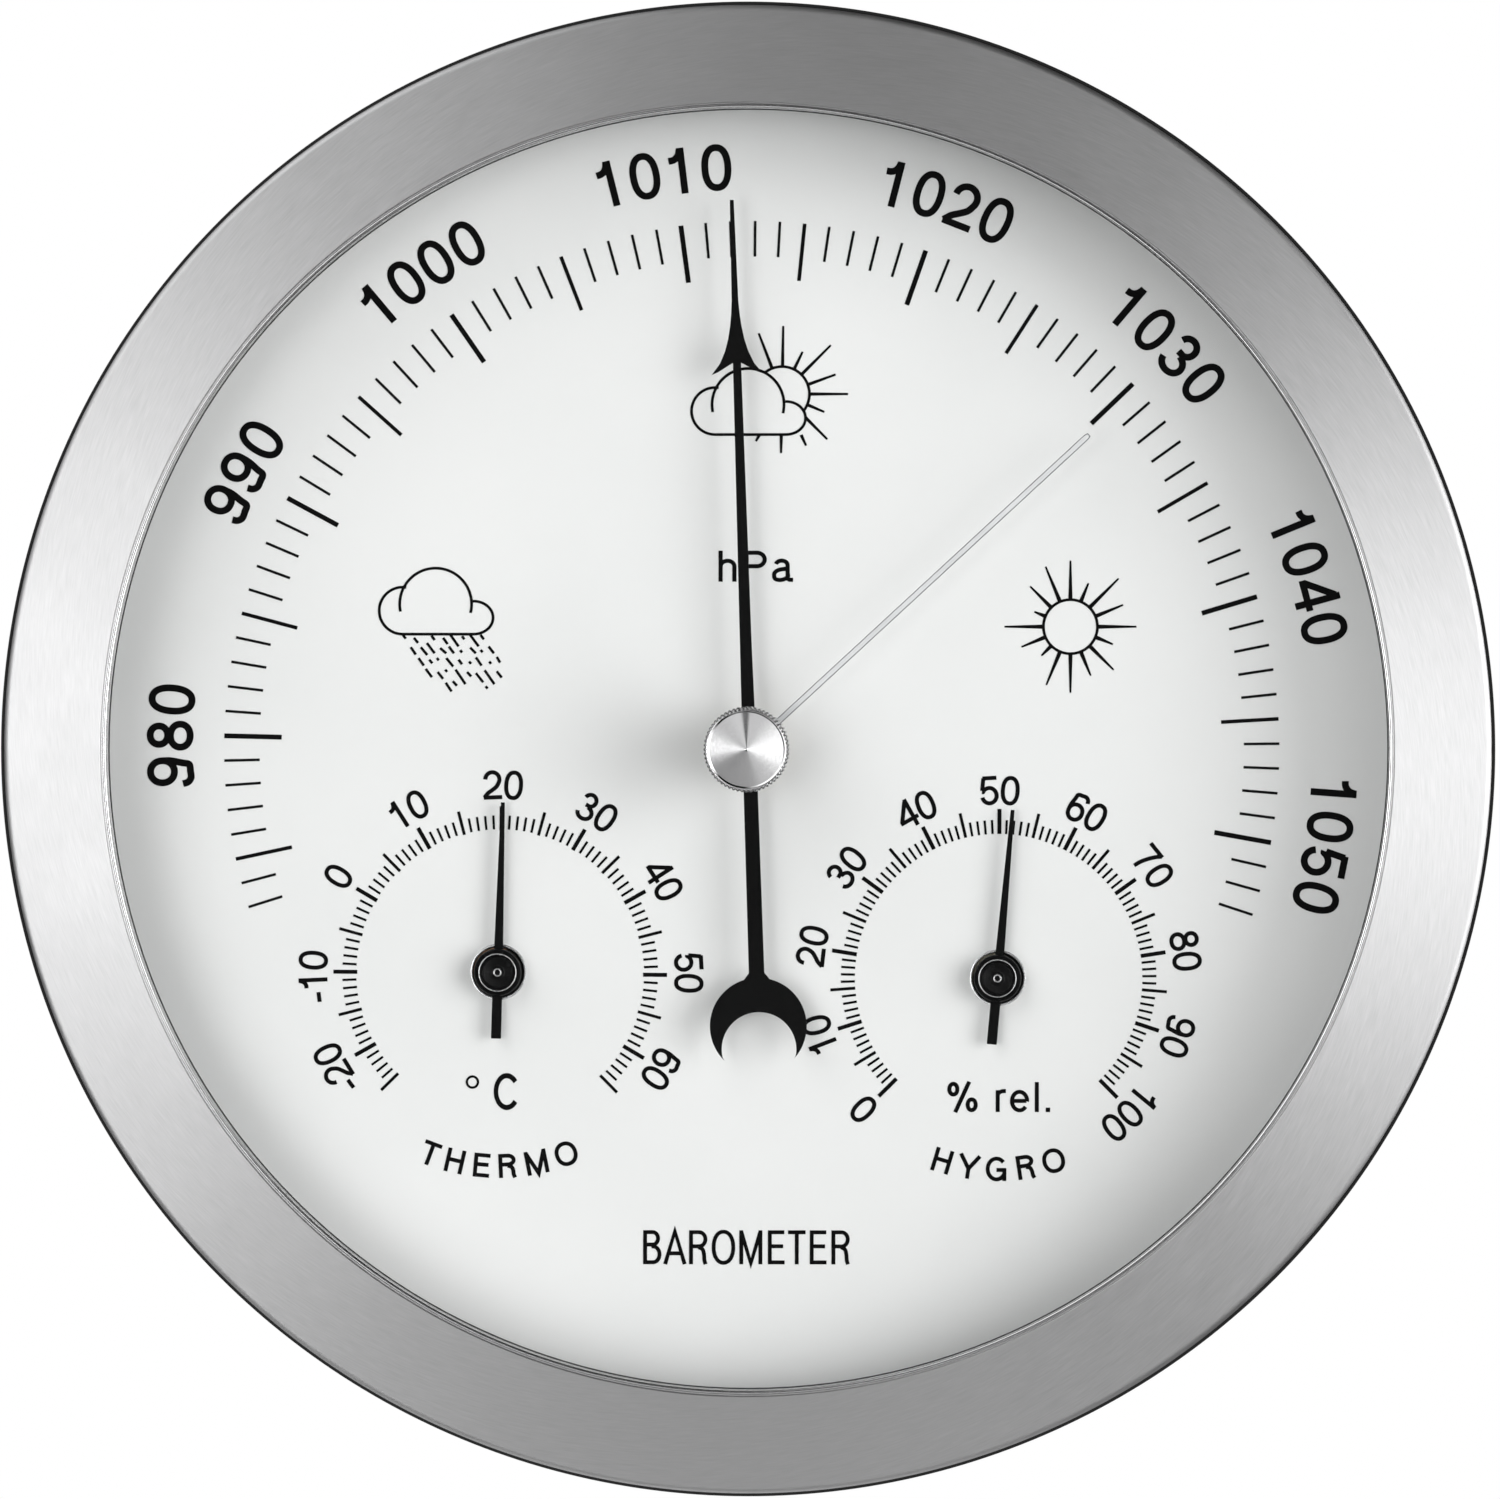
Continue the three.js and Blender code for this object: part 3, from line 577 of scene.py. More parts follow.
def glass(name, slot):
    """Clear flat pane: light passes straight through, with the surface reflection on top."""
    look = Look(name, slot)
    look.tree.nodes.remove(look.shader)
    clear = look.node("ShaderNodeBsdfTransparent")
    smear = look.noise(look.coords(), scale=45.0, detail=4.0, rough=0.6)
    tint = look.mix(look.remap(smear, (0.0, 1.0), span=(0.35, 0.65)),
                    (0.978, 0.982, 0.980, 1), (0.990, 0.993, 0.991, 1))
    look.feed(clear.inputs["Color"], tint)
    gloss = look.node("ShaderNodeBsdfGlossy")
    gloss.inputs["Color"].default_value = (1, 1, 1, 1)
    look.feed(gloss.inputs["Roughness"], look.remap(smear, (0.0, 0.03)))
    fresnel = look.node("ShaderNodeFresnel")
    fresnel.inputs["IOR"].default_value = 1.45
    # shadow and diffuse rays see no reflection
    path = look.node("ShaderNodeLightPath").outputs
    dull = look.math("MAXIMUM", path["Is Shadow Ray"], path["Is Diffuse Ray"])
    mirror = look.math("MULTIPLY", fresnel.outputs[0], look.math("SUBTRACT", 1.0, dull))
    look.feed(look.surface, look.blend_shaders(mirror, clear.outputs[0], gloss.outputs[0]))
    return look


# the inner lip ring is polished and painted 1.35 times as bright, a painted highlight on the
# bead; the outer rim ring is polished and painted 0.35 times as bright, a painted dark outline
STEEL_FACE = brushed_steel(
    "bezel_brushed_steel", "brushed_steel", (0.45, 0.45, 0.453), rough=0.38, aniso=0.81,
    slant=0.11, polished_and_painted=((50.0, 56.98, 0.03, 0.16, 1.35), (65.72, 80.0, 0.06, 0.12, 0.35)),
    front=-40.7)
STEEL_DRUM = brushed_steel("drum_brushed_steel", "steel_plain", (0.58, 0.585, 0.59),
                           rough=0.38, aniso=0.7, along=1.0)
STEEL_TURNED = brushed_steel("knob_turned_nickel", "nickel", (0.62, 0.62, 0.625),
                             rough=0.11, aniso=0.4, grain=2.2, relief=0.10)
STEEL_PLATE = plain_metal("hanger_steel", "steel_plain", (0.55, 0.555, 0.56), rough=0.34)
NICKEL = plain_metal("nickel_plate", "nickel", (0.70, 0.70, 0.71), rough=0.24, wear=0.06)
SILVER_HAND = plain_metal("set_hand_nickel", "nickel", (0.66, 0.66, 0.67), rough=0.47, wear=0.05)
# blued steel of the arbors; on the marker hand's chamfers and sides the same dark material is
# painted shade
BLUED_STEEL_AND_EDGE_SHADE = plain_metal("blued_steel_and_marker_edge_shade", "dark_steel", (0.24, 0.25, 0.27), rough=0.33)
BRASS = plain_metal("satin_brass", "brass", (0.72, 0.53, 0.25), rough=0.33, wear=0.12)
BIMETAL = plain_metal("bimetal_copper", "bimetal", (0.62, 0.36, 0.24), rough=0.38, wear=0.15)
HYGRO_STRIP = plain_metal("hygro_strip_laminate", "hygro_strip", (0.66, 0.60, 0.48),
                          rough=0.5, metallic=0.4)
BLACK_HAND = coated("black_hand_lacquer", "black_lacquer", (0.0022, 0.0022, 0.0023),
                    rough=0.40, grain=1200.0, bump=0.08, tint=0.3, spec=0.05)
CAP_GLOSS = coated("hub_cap_gloss", "black_lacquer", (0.0028, 0.0028, 0.003),
                   rough=0.25, grain=1200.0, bump=0.04, tint=0.3, spec=0.10)
INK = coated("dial_ink", "black_lacquer", (0.0025, 0.0025, 0.0026),
             rough=0.7, grain=2500.0, bump=0.10, tint=0.5, spec=0.03)
INK_GREY = coated("dial_ink_fine", "black_lacquer", (0.006, 0.006, 0.0062),
                  rough=0.7, grain=2500.0, bump=0.10, tint=0.4, spec=0.03)
DIAL_WHITE = coated("dial_white_enamel", "white_dial", (0.885, 0.885, 0.883),
                    rough=0.5, grain=2200.0, bump=0.05, tint=0.006, spec=0.25)
SPACER = coated("spacer_grey_plastic", "grey_plastic", (0.085, 0.085, 0.086),
                rough=0.55, grain=1200.0, bump=0.10, distance=0.02, tint=0.05, spec=0.25)
PLASTIC = coated("moulded_black_plastic", "black_plastic", (0.022, 0.022, 0.023),
                 rough=0.5, grain=1500.0, bump=0.35, distance=0.05, tint=0.2)
RUBBER = coated("gasket_rubber", "rubber", (0.02, 0.02, 0.02),
                rough=0.75, grain=900.0, bump=0.3, distance=0.05, tint=0.2)
GLASS = glass("clear_glass", "clear_glass")


# ================================================ strokes and lettering
def ribbon(points, width, closed=False):
    """Quads of constant width along a centre line, mitred at each point."""
    given = [Vector(p) for p in points]
    if closed and (given[0] - given[-1]).length < 1e-7:
        given.pop()
    line = [given[0]]
    for p in given[1:]:
        if (p - line[-1]).length > 1e-6:
            line.append(p)
    n = len(line)
    left, right = [], []
    for i, here in enumerate(line):
        ahead = (line[(i + 1) % n] - here).normalized()
        behind = (here - line[i - 1]).normalized()
        if not closed and i == 0:
            behind = ahead
        if not closed and i == n - 1:
            ahead = behind
        normal = Vector((-behind.y, behind.x))
        mitre = normal + Vector((-ahead.y, ahead.x))
        if mitre.length < 1e-6:
            mitre = normal.copy()
        mitre.normalize()
        reach = width / 2 / max(0.35, mitre.dot(normal))
        left.append(here + mitre * reach)
        right.append(here - mitre * reach)
    out = []
    for i in range(n if closed else n - 1):
        j = (i + 1) % n
        out.append([tuple(right[i]), tuple(right[j]), tuple(left[j]), tuple(left[i])])
    return out


def superoval(cx, cz, rx, rz, power):
    """Oval between an ellipse (power 2) and a rectangle."""
    out = []
    for i in range(44):
        t = 2 * math.pi * i / 44
        c, s = math.cos(t), math.sin(t)
        out.append((cx + rx * math.copysign(abs(c) ** (2 / power), c),
                    cz + rz * math.copysign(abs(s) ** (2 / power), s)))
    return out


def smooth_path(points, per=6):
    """Catmull-Rom curve through the points."""
    def beyond(end, before):
        return (2 * end[0] - before[0], 2 * end[1] - before[1])

    q = [beyond(points[0], points[1])] + list(points) + [beyond(points[-1], points[-2])]
    out = []
    for i in range(1, len(q) - 2):
        for k in range(per):
            t = k / per
            out.append(tuple(
                0.5 * (2 * b + (e - a) * t + (2 * a - 5 * b + 4 * e - f) * t * t
                       + (3 * b - a - 3 * e + f) * t ** 3)
                for a, b, e, f in zip(q[i - 1], q[i], q[i + 1], q[i + 2])))
    out.append(points[-1])
    return out


def alphabet(stroke):
    """Plain grotesque letters, cap height 1: {letter: (advance, closed ovals, open lines)}."""
    half = stroke / 2
    top = 1 - half
    two = arc(0.385, 0.69, 0.315 - half, 0.32 - half, 178, -22)
    two += smooth_path([two[-1], (0.52, 0.44), (0.37, 0.325), (0.22, 0.225), (0.125, 0.12),
                        (0.085, half)])[1:]
    five = [(0.135, 0.46)] + arc(0.385, 0.325, 0.32 - half, 0.335 - half, 150, -168)
    six = superoval(0.39, 0.325, 0.315 - half, 0.335 - half, 2.1)
    six_tail = smooth_path([
        (0.075 + half, 0.34), (0.082 + half, 0.52), (0.135 + half, 0.75), (0.25, 0.91),
        (0.40, 1.01 - half), (0.54, 0.965 - half * 0.3), (0.635, 0.87), (0.665, 0.76)])

    def upside_down(points):
        return [(0.775 - x, 1 - z) for x, z in points]

    return {
        "0": (0.775, [superoval(0.385, 0.5, 0.325 - half, 0.51 - half, 2.3)], []),
        "1": (0.775, [], [
            [(0.43, 0), (0.43, 1.0)],
            smooth_path([(0.15, 0.735), (0.25, 0.745), (0.33, 0.79), (0.385, 0.87),
                         (0.415, 0.985)])]),
        "2": (0.775, [], [two, [(0.065, half), (0.70, half)]]),
        "3": (0.775, [], [
            arc(0.375, 0.735, 0.275 - half, 0.275 - half, 170, -78),
            arc(0.38, 0.275, 0.32 - half, 0.285 - half, 86, -172),
            [(0.29, 0.545), (0.42, 0.545)]]),
        "4": (0.775, [], [
            [(0.55, 0), (0.55, 1.0)],
            [(0.52, 0.985 - half), (0.095, 0.30)],
            [(0.04, 0.285), (0.72, 0.285)]]),
        "5": (0.775, [], [
            [(0.17, top), (0.655, top)],
            [(0.205, top), (0.145, 0.50)],
            smooth_path(five[:3], 4) + five[3:]]),
        "6": (0.775, [six], [six_tail]),
        "7": (0.775, [], [
            [(0.06, top), (0.70, top)],
            smooth_path([(0.655, top), (0.52, 0.72), (0.40, 0.45), (0.33, 0.22), (0.30, 0)])]),
        "8": (0.775, [superoval(0.385, 0.745, 0.275 - half, 0.265 - half, 2.1),
                      superoval(0.385, 0.28, 0.325 - half, 0.29 - half, 2.1)], []),
        "9": (0.775, [upside_down(six)], [upside_down(six_tail)]),
        "-": (0.46, [], [[(0.06, 0.34), (0.40, 0.34)]]),
        "%": (1.15, [superoval(0.27, 0.76, 0.20 - half, 0.245 - half, 2.1),
                     superoval(0.88, 0.24, 0.20 - half, 0.245 - half, 2.1)],
              [[(0.33, -0.01), (0.80, 1.01)]]),
        ".": (0.36, [], [[(0.18 - half * 1.1, half * 1.1), (0.18 + half * 1.1, half * 1.1)]]),
        " ": (0.38, [], []),
        "C": (0.95, [], [arc(0.49, 0.5, 0.42 - half, 0.515 - half, 38, 322)]),
        "T": (0.80, [], [[(0.03, top), (0.77, top)], [(0.40, 0), (0.40, top)]]),
        "H": (0.98, [], [
            [(0.11 + half, 0), (0.11 + half, 1)],
            [(0.87 - half, 0), (0.87 - half, 1)],
            [(0.11, 0.53), (0.87, 0.53)]]),
        "E": (0.86, [], [[(0.12 + half, 0), (0.12 + half, 1)]]
              + [[(0.12, z), (x, z)] for z, x in ((half, 0.80), (0.53, 0.74), (top, 0.79))]),
        "R": (0.96, [], [
            [(0.12 + half, 0), (0.12 + half, 1)],
            [(0.12, top), (0.50, top)] + arc(0.52, 0.735, 0.32 - half, 0.265 - half, 90, -90)
            + [(0.12, 0.47 + half)],
            smooth_path([(0.50, 0.50), (0.66, 0.44), (0.72, 0.30), (0.74, 0.12), (0.79, 0)])]),
        "M": (1.14, [], [
            [(0.11 + half, 0), (0.11 + half, 1)],
            [(1.03 - half, 0), (1.03 - half, 1)],
            [(0.11 + half, 1 - half * 0.6), (0.57, 0.03), (1.03 - half, 1 - half * 0.6)]]),
        "O": (1.06, [superoval(0.53, 0.5, 0.47 - half, 0.515 - half, 2.15)], []),
        "Y": (0.90, [], [
            [(0.45, 0), (0.45, 0.44)],
            [(0.05, 1.0), (0.45, 0.42), (0.85, 1.0)]]),
        "G": (1.06, [], [
            arc(0.52, 0.5, 0.45 - half, 0.515 - half, 40, 340),
            [(0.52, 0.46), (0.93, 0.46)],
            [(0.93 - half, 0.46), (0.93 - half, 0.0)]]),
        "B": (0.92, [], [
            [(0.11 + half, 0), (0.11 + half, 1)],
            [(0.11, top), (0.47, top)] + arc(0.49, 0.76, 0.28 - half, 0.24 - half, 90, -90)
            + [(0.11, 0.52 + half)],
            [(0.11, 0.52 + half), (0.49, 0.52 + half)]
            + arc(0.51, 0.26 + half / 2, 0.32 - half, 0.26 - half / 2, 90, -90)
            + [(0.11, half)]]),
        "A": (0.90, [], [
            [(0.04, 0), (0.45, 1 - half * 0.5), (0.86, 0)],
            [(0.17, 0.32), (0.73, 0.32)]]),
        "P": (0.90, [], [
            [(0.12 + half, 0), (0.12 + half, 1)],
            [(0.12, top), (0.50, top)] + arc(0.52, 0.715, 0.32 - half, 0.285 - half, 90, -90)
            + [(0.12, 0.43 + half)]]),
        "h": (0.76, [], [
            [(0.09 + half, 0), (0.09 + half, 1)],
            [(0.09 + half, 0.50)] + arc(0.38, 0.49, 0.29 - half, 0.25 - half, 160, 0)
            + [(0.67 - half, 0)]]),
        "a": (0.76, [], [
            arc(0.37, 0.53, 0.26 - half, 0.215 - half, 165, 0)
            + [(0.63 - half, 0.10), (0.66 - half * 0.6, half * 0.9), (0.74, half * 0.9)],
            smooth_path([
                (0.63 - half, 0.43), (0.50, 0.415), (0.27, 0.375), (0.11 + half * 0.4, 0.27),
                (0.12 + half * 0.4, 0.11), (0.27, half * 0.85), (0.44, 0.075), (0.57, 0.16),
                (0.63 - half, 0.29)])]),
        "r": (0.47, [], [
            [(0.09 + half, 0), (0.09 + half, 0.73)],
            smooth_path([(0.09 + half, 0.45), (0.17, 0.60), (0.28, 0.685), (0.43, 0.70)])]),
        "e": (0.77, [], [
            [(0.68 - half, 0.37), (0.07 + half * 0.6, 0.37)],
            [(0.70 - half, 0.35)] + arc(0.385, 0.365, 0.32 - half, 0.375 - half, 2, 322)]),
        "l": (0.32, [], [[(0.16, 0), (0.16, 1)]]),
    }


def letter(char, stroke, height, left, base, narrow=1.0):
    """Advance and polygons of a letter; narrow condenses it but not its strokes."""
    advance, ovals, lines = alphabet(stroke)[char]
    width = stroke * 1.1 if char == "." else stroke
    polys = []
    for points in ovals + lines:
        squeezed = [(x * narrow, z) for x, z in points]
        for quad in ribbon(squeezed, width, points in ovals):
            polys.append([(left + x * height, base + z * height) for x, z in quad])
    return advance * height * narrow, polys


def text_line(text, height, stroke, track, at, narrow=1.0):
    """A straight line of text, centred on at[0] with its baseline at at[1]."""
    x, polys = 0.0, []
    for char in text:
        advance, letter_polys = letter(char, stroke, height, x, 0, narrow)
        polys += letter_polys
        x += advance + track
    return moved(polys, at[0] - (x - track) / 2, at[1])


def text_round(text, height, stroke, radius, deg, at, track, flip=False):
    """Text on an arc through its middle height, centred on deg from 12 o'clock, tops outward.

    With flip the tops point inward and deg counts from 6 o'clock.
    """
    side = -1 if flip else 1
    letters = alphabet(stroke)
    widths = [letters[char][0] * height + track for char in text]
    x, polys = -sum(widths) / 2, []
    for char, width in zip(text, widths):
        angle = deg + side * math.degrees((x + width / 2) / radius)
        _, letter_polys = letter(char, stroke, height, -(width - track) / 2, -height / 2)
        for poly in moved(letter_polys, 0, side * radius):
            polys.append(turn_xz(poly, angle, at))
        x += width
    return polys


# ================================================ dial artwork
PRINT_BACK = DIAL_FRONT + 0.01
PRINT_FRONT = DIAL_FRONT - 0.035

# the printed scales lie slightly off the axes of their hands
BARO_PRINT = (0.09779, -0.06223)
THERMO_PRINT = (THERMO[0] + 0.157, THERMO[1] - 0.117)
HYGRO_PRINT = (HYGRO[0] + 0.073, HYGRO[1] + 0.021)

# the numbers do not sit exactly on their marks: (outwards, clockwise)
BARO_NUDGE = {
    980: (-0.11557, -0.14224), 990: (-0.33782, 0.24003), 1000: (-0.29337, -0.02667),
    1010: (-0.07112, -0.889), 1020: (-0.00889, 0.3556), 1030: (-0.05334, -0.40005),
    1040: (0.32004, -0.2667), 1050: (0.22225, -0.64008)}
THERMO_NUDGE = {
    -20: (0.19558, -0.19558), -10: (-0.0889, -0.46228), 0: (0.02667, 0.11557),
    10: (-0.04445, 0.04445), 20: (0.0, 0.11557), 30: (-0.03556, 0.13335),
    40: (-0.01778, -0.07112), 50: (0.04445, -0.20447), 60: (-0.11557, 0.06223)}
HYGRO_NUDGE = {
    0: (0.01778, 0.14224), 10: (-0.03556, -0.04445), 20: (0.06223, 0.09779),
    30: (-0.07112, -0.09779), 40: (-0.11557, 0.16891), 50: (-0.11557, 0.01778),
    60: (-0.09779, 0.19558), 70: (0.16002, 0.01778), 80: (0.04445, 0.15113),
    90: (-0.00889, 0.00889), 100: (0.04445, 0.19558)}


def print_layer(name, polys, ink=INK):
    make(name, *extrude(*flat_union(polys), PRINT_BACK, PRINT_FRONT), ink, smooth=False)


def dial_scale(low, high, known, step_deg, at, label_at, fine, long, widths, label, nudges):
    """Fine ticks, long ticks and numerals of one scale, a tick for each unit.

    known is (value, its angle); fine and long are (inner, outer) tick radii; widths are
    those of the ticks at tens, at fives and between; label is the style of the numerals.
    """
    fine_ticks, long_ticks, numerals = [], [], []
    for value in range(low, high + 1):
        deg = known[1] + (value - known[0]) * step_deg
        if value % 5:
            ticks, (inner, outer), width = fine_ticks, fine, widths[2]
        else:
            ticks, (inner, outer), width = long_ticks, long, widths[1 if value % 10 else 0]
        ticks.append(turn_xz(rectangle(-width / 2, width / 2, inner, outer), deg, at))
        if value % 10 == 0:
            outwards, clockwise = nudges[value]
            numerals += text_round(
                str(value), label["height"], label["stroke"], label["radius"] + outwards,
                deg + math.degrees(clockwise / label["radius"]), label_at, label["track"])
    return fine_ticks, long_ticks, numerals


# pressure in hPa
fine_ticks, long_ticks, numerals = dial_scale(
    973, 1053, known=(980, -88.585), step_deg=2.697, at=BARO_PRINT, label_at=(0, 0),
    fine=(43.74769, 46.90364), long=(41.79189, 46.90364), widths=(0.43561, 0.32893, 0.24003),
    label=dict(radius=51.7398, height=4.0894, stroke=0.150, track=0.03556), nudges=BARO_NUDGE)
print_layer("pressure_scale_fine", fine_ticks, INK_GREY)
print_layer("pressure_scale_long", long_ticks)
print_layer("pressure_numerals", numerals)

# temperature and humidity
SUB_STYLE = dict(
    widths=(0.3556, 0.2667, 0.208915),
    label=dict(radius=16.75765, height=2.5781, stroke=0.142, track=-0.12446))
SUB_SCALES = {
    "thermo": dict(low=-25, high=65, known=(-25, -134.47), step_deg=3.0,
                   at=THERMO_PRINT, label_at=THERMO_PRINT,
                   fine=(12.8016, 14.0462), long=(12.7127, 14.8463), nudges=THERMO_NUDGE),
    "hygro": dict(low=0, high=100, known=(0, -134.71), step_deg=2.7,
                  at=HYGRO_PRINT, label_at=HYGRO_PRINT,
                  fine=(12.770485, 14.015085), long=(12.770485, 14.992985),
                  nudges=HYGRO_NUDGE),
}
for prefix, layout in SUB_SCALES.items():
    fine_ticks, long_ticks, numerals = dial_scale(**layout, **SUB_STYLE)
    print_layer(f"{prefix}_scale", fine_ticks + long_ticks)
    print_layer(f"{prefix}_numerals", numerals)

# unit marks: hPa, degree sign with a slightly narrowed C, % rel.
unit_marks = text_line("hPa", height=2.7559, stroke=0.135, track=0.13335, at=(0.40005, 14.80185))
unit_marks += ribbon(arc(-24.7142, -29.6926, 0.49784, 0.49784, 0, 360, 20), 0.21336, True)
_, celsius = letter("C", stroke=0.145, height=3.2004, left=0, base=0)
unit_marks += moved([[(x * 0.87, z) for x, z in poly] for poly in celsius],
                    -23.01621, -32.13735)
unit_marks += text_line("% rel.", height=2.667, stroke=0.135, track=0.08001,
                        at=(22.1361, -32.31515))
print_layer("unit_marks", unit_marks)

# names of the small dials on arcs below their hubs, and of the instrument
names = text_round("THERMO", height=2.1336, stroke=0.165, radius=17.2466, deg=-0.4,
                   at=THERMO, track=0.39116, flip=True)
names += text_round("HYGRO", height=2.1336, stroke=0.165, radius=16.9799, deg=-0.2,
                    at=HYGRO, track=0.40894, flip=True)
print_layer("sub_dial_names", names)
print_layer("dial_name", text_line("BAROMETER", height=3.0226, stroke=0.115, track=0.10668,
                                   at=(-0.32893, -45.8724), narrow=0.70))

# ------------------------------------------------ weather signs
LINE = 0.24892
RAIN_LINE = 0.24003

# rain strokes below the left cloud: (x, z) of the upper end, (x, z) of the lower end
RAIN = [
    (-30.884, 10.072, -30.635, 9.726), (-29.915, 9.806, -29.541, 9.352),
    (-28.350, 10.010, -28.066, 9.601), (-27.319, 9.806, -26.910, 9.246),
    (-26.661, 10.072, -25.941, 9.041), (-25.630, 9.966, -25.425, 9.663),
    (-24.910, 10.072, -24.154, 9.041), (-23.985, 10.072, -23.683, 9.663),
    (-30.199, 8.979, -29.746, 8.321), (-29.301, 8.979, -28.724, 8.277),
    (-28.759, 9.352, -28.066, 8.428), (-27.586, 8.899, -27.034, 8.428),
    (-26.803, 9.041, -26.350, 8.428), (-25.799, 8.712, -25.621, 8.499),
    (-24.910, 8.943, -24.403, 8.428), (-23.985, 8.730, -23.799, 8.526),
    (-23.265, 9.041, -22.794, 8.428),
    (-29.506, 8.010, -29.026, 7.334), (-28.555, 7.868, -28.270, 7.539),
    (-27.879, 8.019, -27.701, 7.805), (-27.034, 8.010, -26.412, 7.254),
    (-25.941, 7.868, -25.630, 7.459), (-25.008, 7.708, -24.830, 7.494),
    (-24.403, 8.072, -23.887, 7.334), (-23.221, 7.708, -23.043, 7.494),
    (-22.545, 8.117, -22.243, 7.601),
    (-28.866, 7.050, -28.306, 6.303), (-27.799, 6.774, -27.319, 6.161),
    (-27.132, 6.988, -26.954, 6.774), (-26.208, 6.988, -25.328, 5.690),
    (-25.185, 6.774, -24.812, 6.365), (-24.403, 6.676, -23.745, 5.850),
    (-23.621, 6.925, -22.750, 5.690), (-22.545, 6.836, -22.092, 6.267),
    (-27.079, 5.814, -26.563, 5.032), (-26.457, 5.956, -26.083, 5.547),
    (-23.532, 5.503, -23.354, 5.290),
]

SUN = (28.448, 10.80135)
SUN_RADIUS = 2.4003
# outer ends of the rays, clockwise from the top at even steps
SUN_RAYS = [5.8674, 4.1783, 6.0452, 5.0673, 5.8674, 4.0894, 5.4229, 4.7117,
            5.8674, 5.6007, 3.6449, 4.7117, 5.8674, 3.4671, 5.0673, 5.7785]

HIDDEN_SUN = (2.82702, 31.4706)
HIDDEN_SUN_RADIUS = 2.43586
# (degrees anticlockwise from +X, inner end, outer end)
HIDDEN_SUN_RAYS = [
    (111, 2.4892, 5.7785), (89, 2.4892, 6.0452), (64, 2.4892, 4.1783), (45, 2.4892, 6.1341),
    (20, 2.4892, 5.0673), (0, 2.4892, 5.8674), (-23, 2.4892, 4.0894), (-45, 2.9337, 5.6896),
    (-65, 4.0005, 5.0673), (-91, 3.6449, 5.2451), (-119, 4.0894, 4.8006)]


def cloud(cx, base):
    """Line drawing of a cloud: dome, two lobes, flat base."""
    dome = arc(cx, base + 2.667, 3.2004, 3.2004, -14, 192, 40)
    left = arc(cx - 2.9337, base + 2.08915, 2.08915, 2.08915, 81, 270, 30)
    right = arc(cx + 3.3782, base + 1.46685, 1.73355, 1.46685, -90, 92, 26)
    return ribbon(dome, LINE) + ribbon(left + right, LINE)


def ray(centre, deg, inner, outer, inner_half, outer_half):
    """A tapering ray between two radii, with its half widths there."""
    c, s = math.cos(math.radians(deg)), math.sin(math.radians(deg))
    corners = ((inner, inner_half), (outer, outer_half), (outer, -outer_half),
               (inner, -inner_half))
    return [(centre[0] + c * r + s * half, centre[1] + s * r - c * half)
            for r, half in corners]


symbols = cloud(-27.97683, 10.1346)
for x0, z0, x1, z1 in RAIN:
    symbols += ribbon([(x0, z0), (x1, z1)], RAIN_LINE)
symbols += ribbon(arc(*SUN, SUN_RADIUS, SUN_RADIUS, 0, 360, 48), LINE, True)
for i, outer in enumerate(SUN_RAYS):
    symbols.append(ray(SUN, 90 - 22.5 * i, SUN_RADIUS + 0.05334, outer, 0.18669, 0.08001))

# sun behind a cloud
symbols += cloud(-0.19558, 27.87015)
symbols += ribbon(arc(*HIDDEN_SUN, HIDDEN_SUN_RADIUS, HIDDEN_SUN_RADIUS, -38, 128, 30), LINE)
for deg, inner, outer in HIDDEN_SUN_RAYS:
    symbols.append(ray(HIDDEN_SUN, deg, inner, outer, 0.15113, 0.09779))
print_layer("weather_signs", symbols)

# ================================================ dial, spacer, glass, gasket
plate("dial", circle(0, 0, half_width("dial_plate"), 256),
      [circle(0, 0, 2.0, 64), circle(*THERMO, 2.4, 64), circle(*HYGRO, 2.4, 64)],
      DIAL_REAR, DIAL_FRONT, DIAL_WHITE, replaces="dial_plate", sharp=40)

front, rear = y_range("spacer_ring")
lathe("spacer", fillet([
    (57.2, rear, 0.2), (57.2, front, 0.3), (59.6, front, 0.2), (59.6, rear, 0.2),
], 3), 256, SPACER, replaces="spacer_ring")

front, rear = y_range("dial_glass")
lathe("glass_pane", fillet([
    (1.65, rear, 0.1), (1.65, front, 0.15), (59.3, front, 0.25), (59.3, rear, 0.15),
], 3), 256, GLASS, replaces="dial_glass")

front, rear = y_range("glass_gasket")
lathe("gasket", fillet([
    (56.50, rear, 0.08), (56.50, front, 0.08), (59.2, front, 0.08), (59.2, rear, 0.08),
], 2), 192, RUBBER, replaces="glass_gasket")

# ================================================ bezel and drum
front, rear = y_range("bezel_ring")
BEZEL_R = half_width("bezel_ring")
lathe("bezel", fillet([
    (56.60, -39.0, 0.05), (56.60, front + 0.04, 0.15), (56.90, front + 0.04, 0.10),
    (56.96, front + 0.22, 0.03), (57.07, front + 0.22, 0.03), (57.14, front + 0.01, 0.06),
    (BEZEL_R - 0.40, front + 0.67, 1.00), (BEZEL_R, front + 1.42, 0.10),
    (BEZEL_R, -30.3, 0.5), (65.75, rear, 0.35), (63.3, rear, 0.35), (63.3, -30.5, 0.2),
    (65.05, -30.5, 0.2), (65.05, -40.4, 0.4), (59.5, -40.4, 0.2), (59.5, -39.0, 0.1),
], 8), 384, STEEL_FACE, replaces="bezel_ring", sharp=40)

lathe("drum", fillet([
    (61.5, -3.1, 0.5), (61.5, -30.7, 0.3), (64.8, -30.7, 0.1), (64.8, -31.5, 0.1),
    (60.7, -31.5, 0.1), (60.7, -30.1, 0.1), (58.0, -30.1, 0.1), (58.0, -29.3, 0.1),
    (60.7, -29.3, 0.1), (60.7, -3.9, 0.1), (56.2, -3.9, 0.1), (56.2, -3.1, 0.1),
], 4), 256, STEEL_DRUM, replaces="case_drum", sharp=40)

